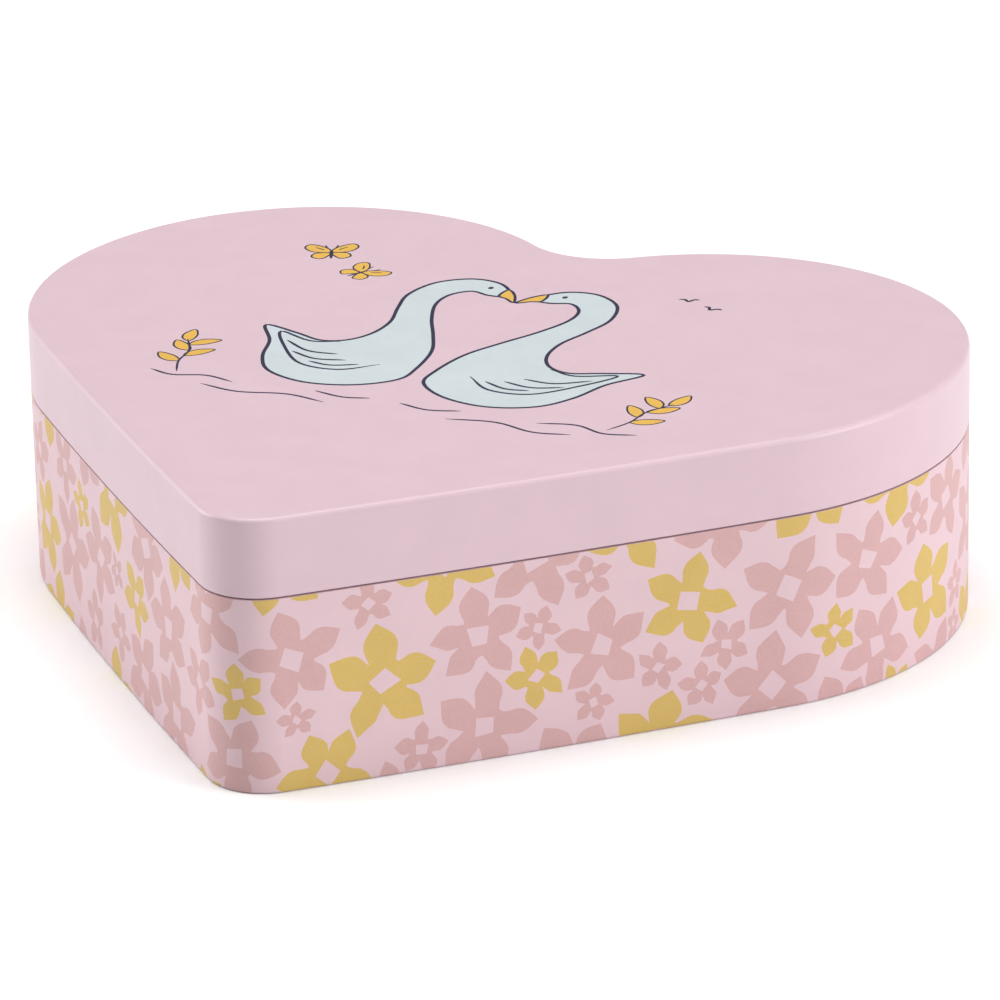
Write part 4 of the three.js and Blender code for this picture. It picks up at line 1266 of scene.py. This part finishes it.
def wing_drawing():
    """The wings' outlines, and the rim, field, veins and spots printed on them."""
    rims = [spline(wing, True, 5) for wing in (FRONT_WING, HIND_WING)]
    half = [([rim], RIM_INK) for rim in rims]
    half += [([shrunken(rim, 0.86)], FIELD_INK) for rim in rims]
    half += [(pen(spline(vein), 0.34), RIM_INK) for vein in WING_VEINS]
    half += [([disc(at, size, size, 12)], SPOT_INK) for at, size in WING_SPOTS]
    return rims + [rim[::-1] * [-1, 1] for rim in rims], placed(half) + placed(half, flip=True)


def wings():
    """Both pairs of wings as one thin moulded sheet with a rounded rim."""
    outlines, printed = wing_drawing()
    corners, edges = loops_edges(outlines + [loop for loops, _ in printed for loop in loops])
    flat, triangles, _ = triangulated(corners, edges)
    triangles = triangles[inside(flat[triangles].mean(1), outlines)]
    numbers = painted(flat[triangles].mean(1), printed)
    used, renumbered = np.unique(triangles, return_inverse=True)
    flat, triangles = flat[used], renumbered.reshape(-1, 3)
    count = len(flat)
    rim = sided_edges(triangles)
    push = np.zeros((count, 2))
    for a, b in rim:
        way = flat[b] - flat[a]
        normal = np.array([way[1], -way[0]]) / max(np.hypot(*way), 1e-9)
        push[[a, b]] += normal
    rim_points = sorted({v for edge in rim for v in edge})
    place = {v: 2 * count + k for k, v in enumerate(rim_points)}
    middle = flat[rim_points] + unit(push[rim_points]) * WING_RIM
    layers = [(flat, WING_THICK / 2), (flat, -WING_THICK / 2), (middle, 0.0)]
    points = np.concatenate([wing_surface(xy, lift) for xy, lift in layers])
    faces = triangles[:, ::-1].tolist() + (triangles + count).tolist()
    for a, b in rim:
        faces += [[a, place[a], place[b], b], [place[a], a + count, b + count, place[b]]]
    inks = numbers.tolist() * 2 + [RIM_INK] * (2 * len(rim))
    materials = [WING, WING_EDGE, WING, IVORY]
    made = make_object("butterfly_wings_sculpted", laid(points), faces, materials, inks)
    outward_faces(made)
    made.data.set_sharp_from_angle(angle=math.radians(50))
    ride(made, "figure", "wing_plastic", "butterfly_wings")


def sided_edges(triangles):
    """The edges that belong to one triangle only, in that triangle's order."""
    edges = {(a, b) for t in triangles for a, b in ((t[0], t[1]), (t[1], t[2]), (t[2], t[0]))}
    return [edge for edge in sorted(edges) if edge[::-1] not in edges]


def wing_surface(flat, lift):
    """Flat wing points as (x across, y back, z up): swept forward to the tips, slightly cupped."""
    across = np.abs(flat[:, 0])
    back = WINGS_BEHIND - across * math.tan(DIHEDRAL) + WING_CUP * across**2
    return np.column_stack([flat[:, 0], back + lift, flat[:, 1] + WINGS_UP])


def outward_faces(made):
    """Turns every face of a closed mesh outwards."""
    build = bmesh.new()
    build.from_mesh(made.data)
    bmesh.ops.recalc_face_normals(build, faces=build.faces)
    build.to_mesh(made.data)
    build.free()


def inside_pieces():
    """Everything under the lid and on the back: the new pieces, then every node that has none."""
    linings()
    for node in ("pad_left", "pad_right", "pad_front"):
        pad(node)
    spring()
    torso()
    wings()
    for node in sorted(set(NODES) - REPLACED):
        refined(node)


# ---- The studio ----

CAMERA_AT = Vector((457.27, -965.68, 435.48)) * MM
CAMERA_TO = Vector((8.29, 9.88, 22.25)) * MM
LENS = 225.2
ROLL = math.radians(-1.239)

# Azimuth from -Y towards +X, elevation, distance in metres, width in metres, power in watts.
SOFTBOXES = {
    "key_right": (94, 20, 3.0, 1.6, 58),
    "fill_left": (-87, 20, 3.0, 1.6, 53),
    "overhead": (180, 88, 3.0, 2.4, 85),
}
SKY = 0.14
FLOOR_REACH = 12000.0
FLOOR_GREY = (0.94, 0.94, 0.94, 1)


def camera():
    """The camera at the photograph's viewing angle."""
    data = bpy.data.cameras.new("camera")
    data.lens, data.sensor_width = LENS, 36.0
    data.clip_start, data.clip_end = 0.01, 50
    made = added("camera", data)
    aim = (CAMERA_TO - CAMERA_AT).to_track_quat("-Z", "Y").to_matrix().to_4x4()
    made.matrix_world = Matrix.Translation(CAMERA_AT) @ aim @ Matrix.Rotation(ROLL, 4, "Z")
    bpy.context.scene.camera = made


def softbox(name, azimuth, elevation, distance, size, power):
    """A square soft light aimed at the box."""
    data = bpy.data.lights.new(name, "AREA")
    data.shape, data.size, data.energy = "SQUARE", size, power
    made = added(name, data)
    a, e = math.radians(azimuth), math.radians(elevation)
    back = Vector((math.sin(a) * math.cos(e), -math.cos(a) * math.cos(e), math.sin(e)))
    made.location = back * distance
    made.rotation_mode = "QUATERNION"
    made.rotation_quaternion = back.to_track_quat("Z", "Y")


def studio():
    """A pale floor under a weak white sky and three soft lights."""
    world = bpy.data.worlds.new("studio")
    world.use_nodes = True
    sky = world.node_tree.nodes["Background"].inputs
    sky["Color"].default_value, sky["Strength"].default_value = (1, 1, 1, 1), SKY
    bpy.context.scene.world = world
    for name, values in SOFTBOXES.items():
        softbox(name, *values)
    far = FLOOR_REACH
    corners = [(-far, -far, 0), (far, -far, 0), (far, far, 0), (-far, far, 0)]
    pale = Finish("pale_floor", Roughness=0.9, Specular_IOR_Level=0.1, Base_Color=FLOOR_GREY)
    make_object("floor", corners, [(0, 1, 2, 3)], [pale.material])
    bpy.context.scene.view_settings.view_transform = "Standard"


# ---- Everything together ----

camera()
studio()
base_wall()
lid_shell()
inside_pieces()
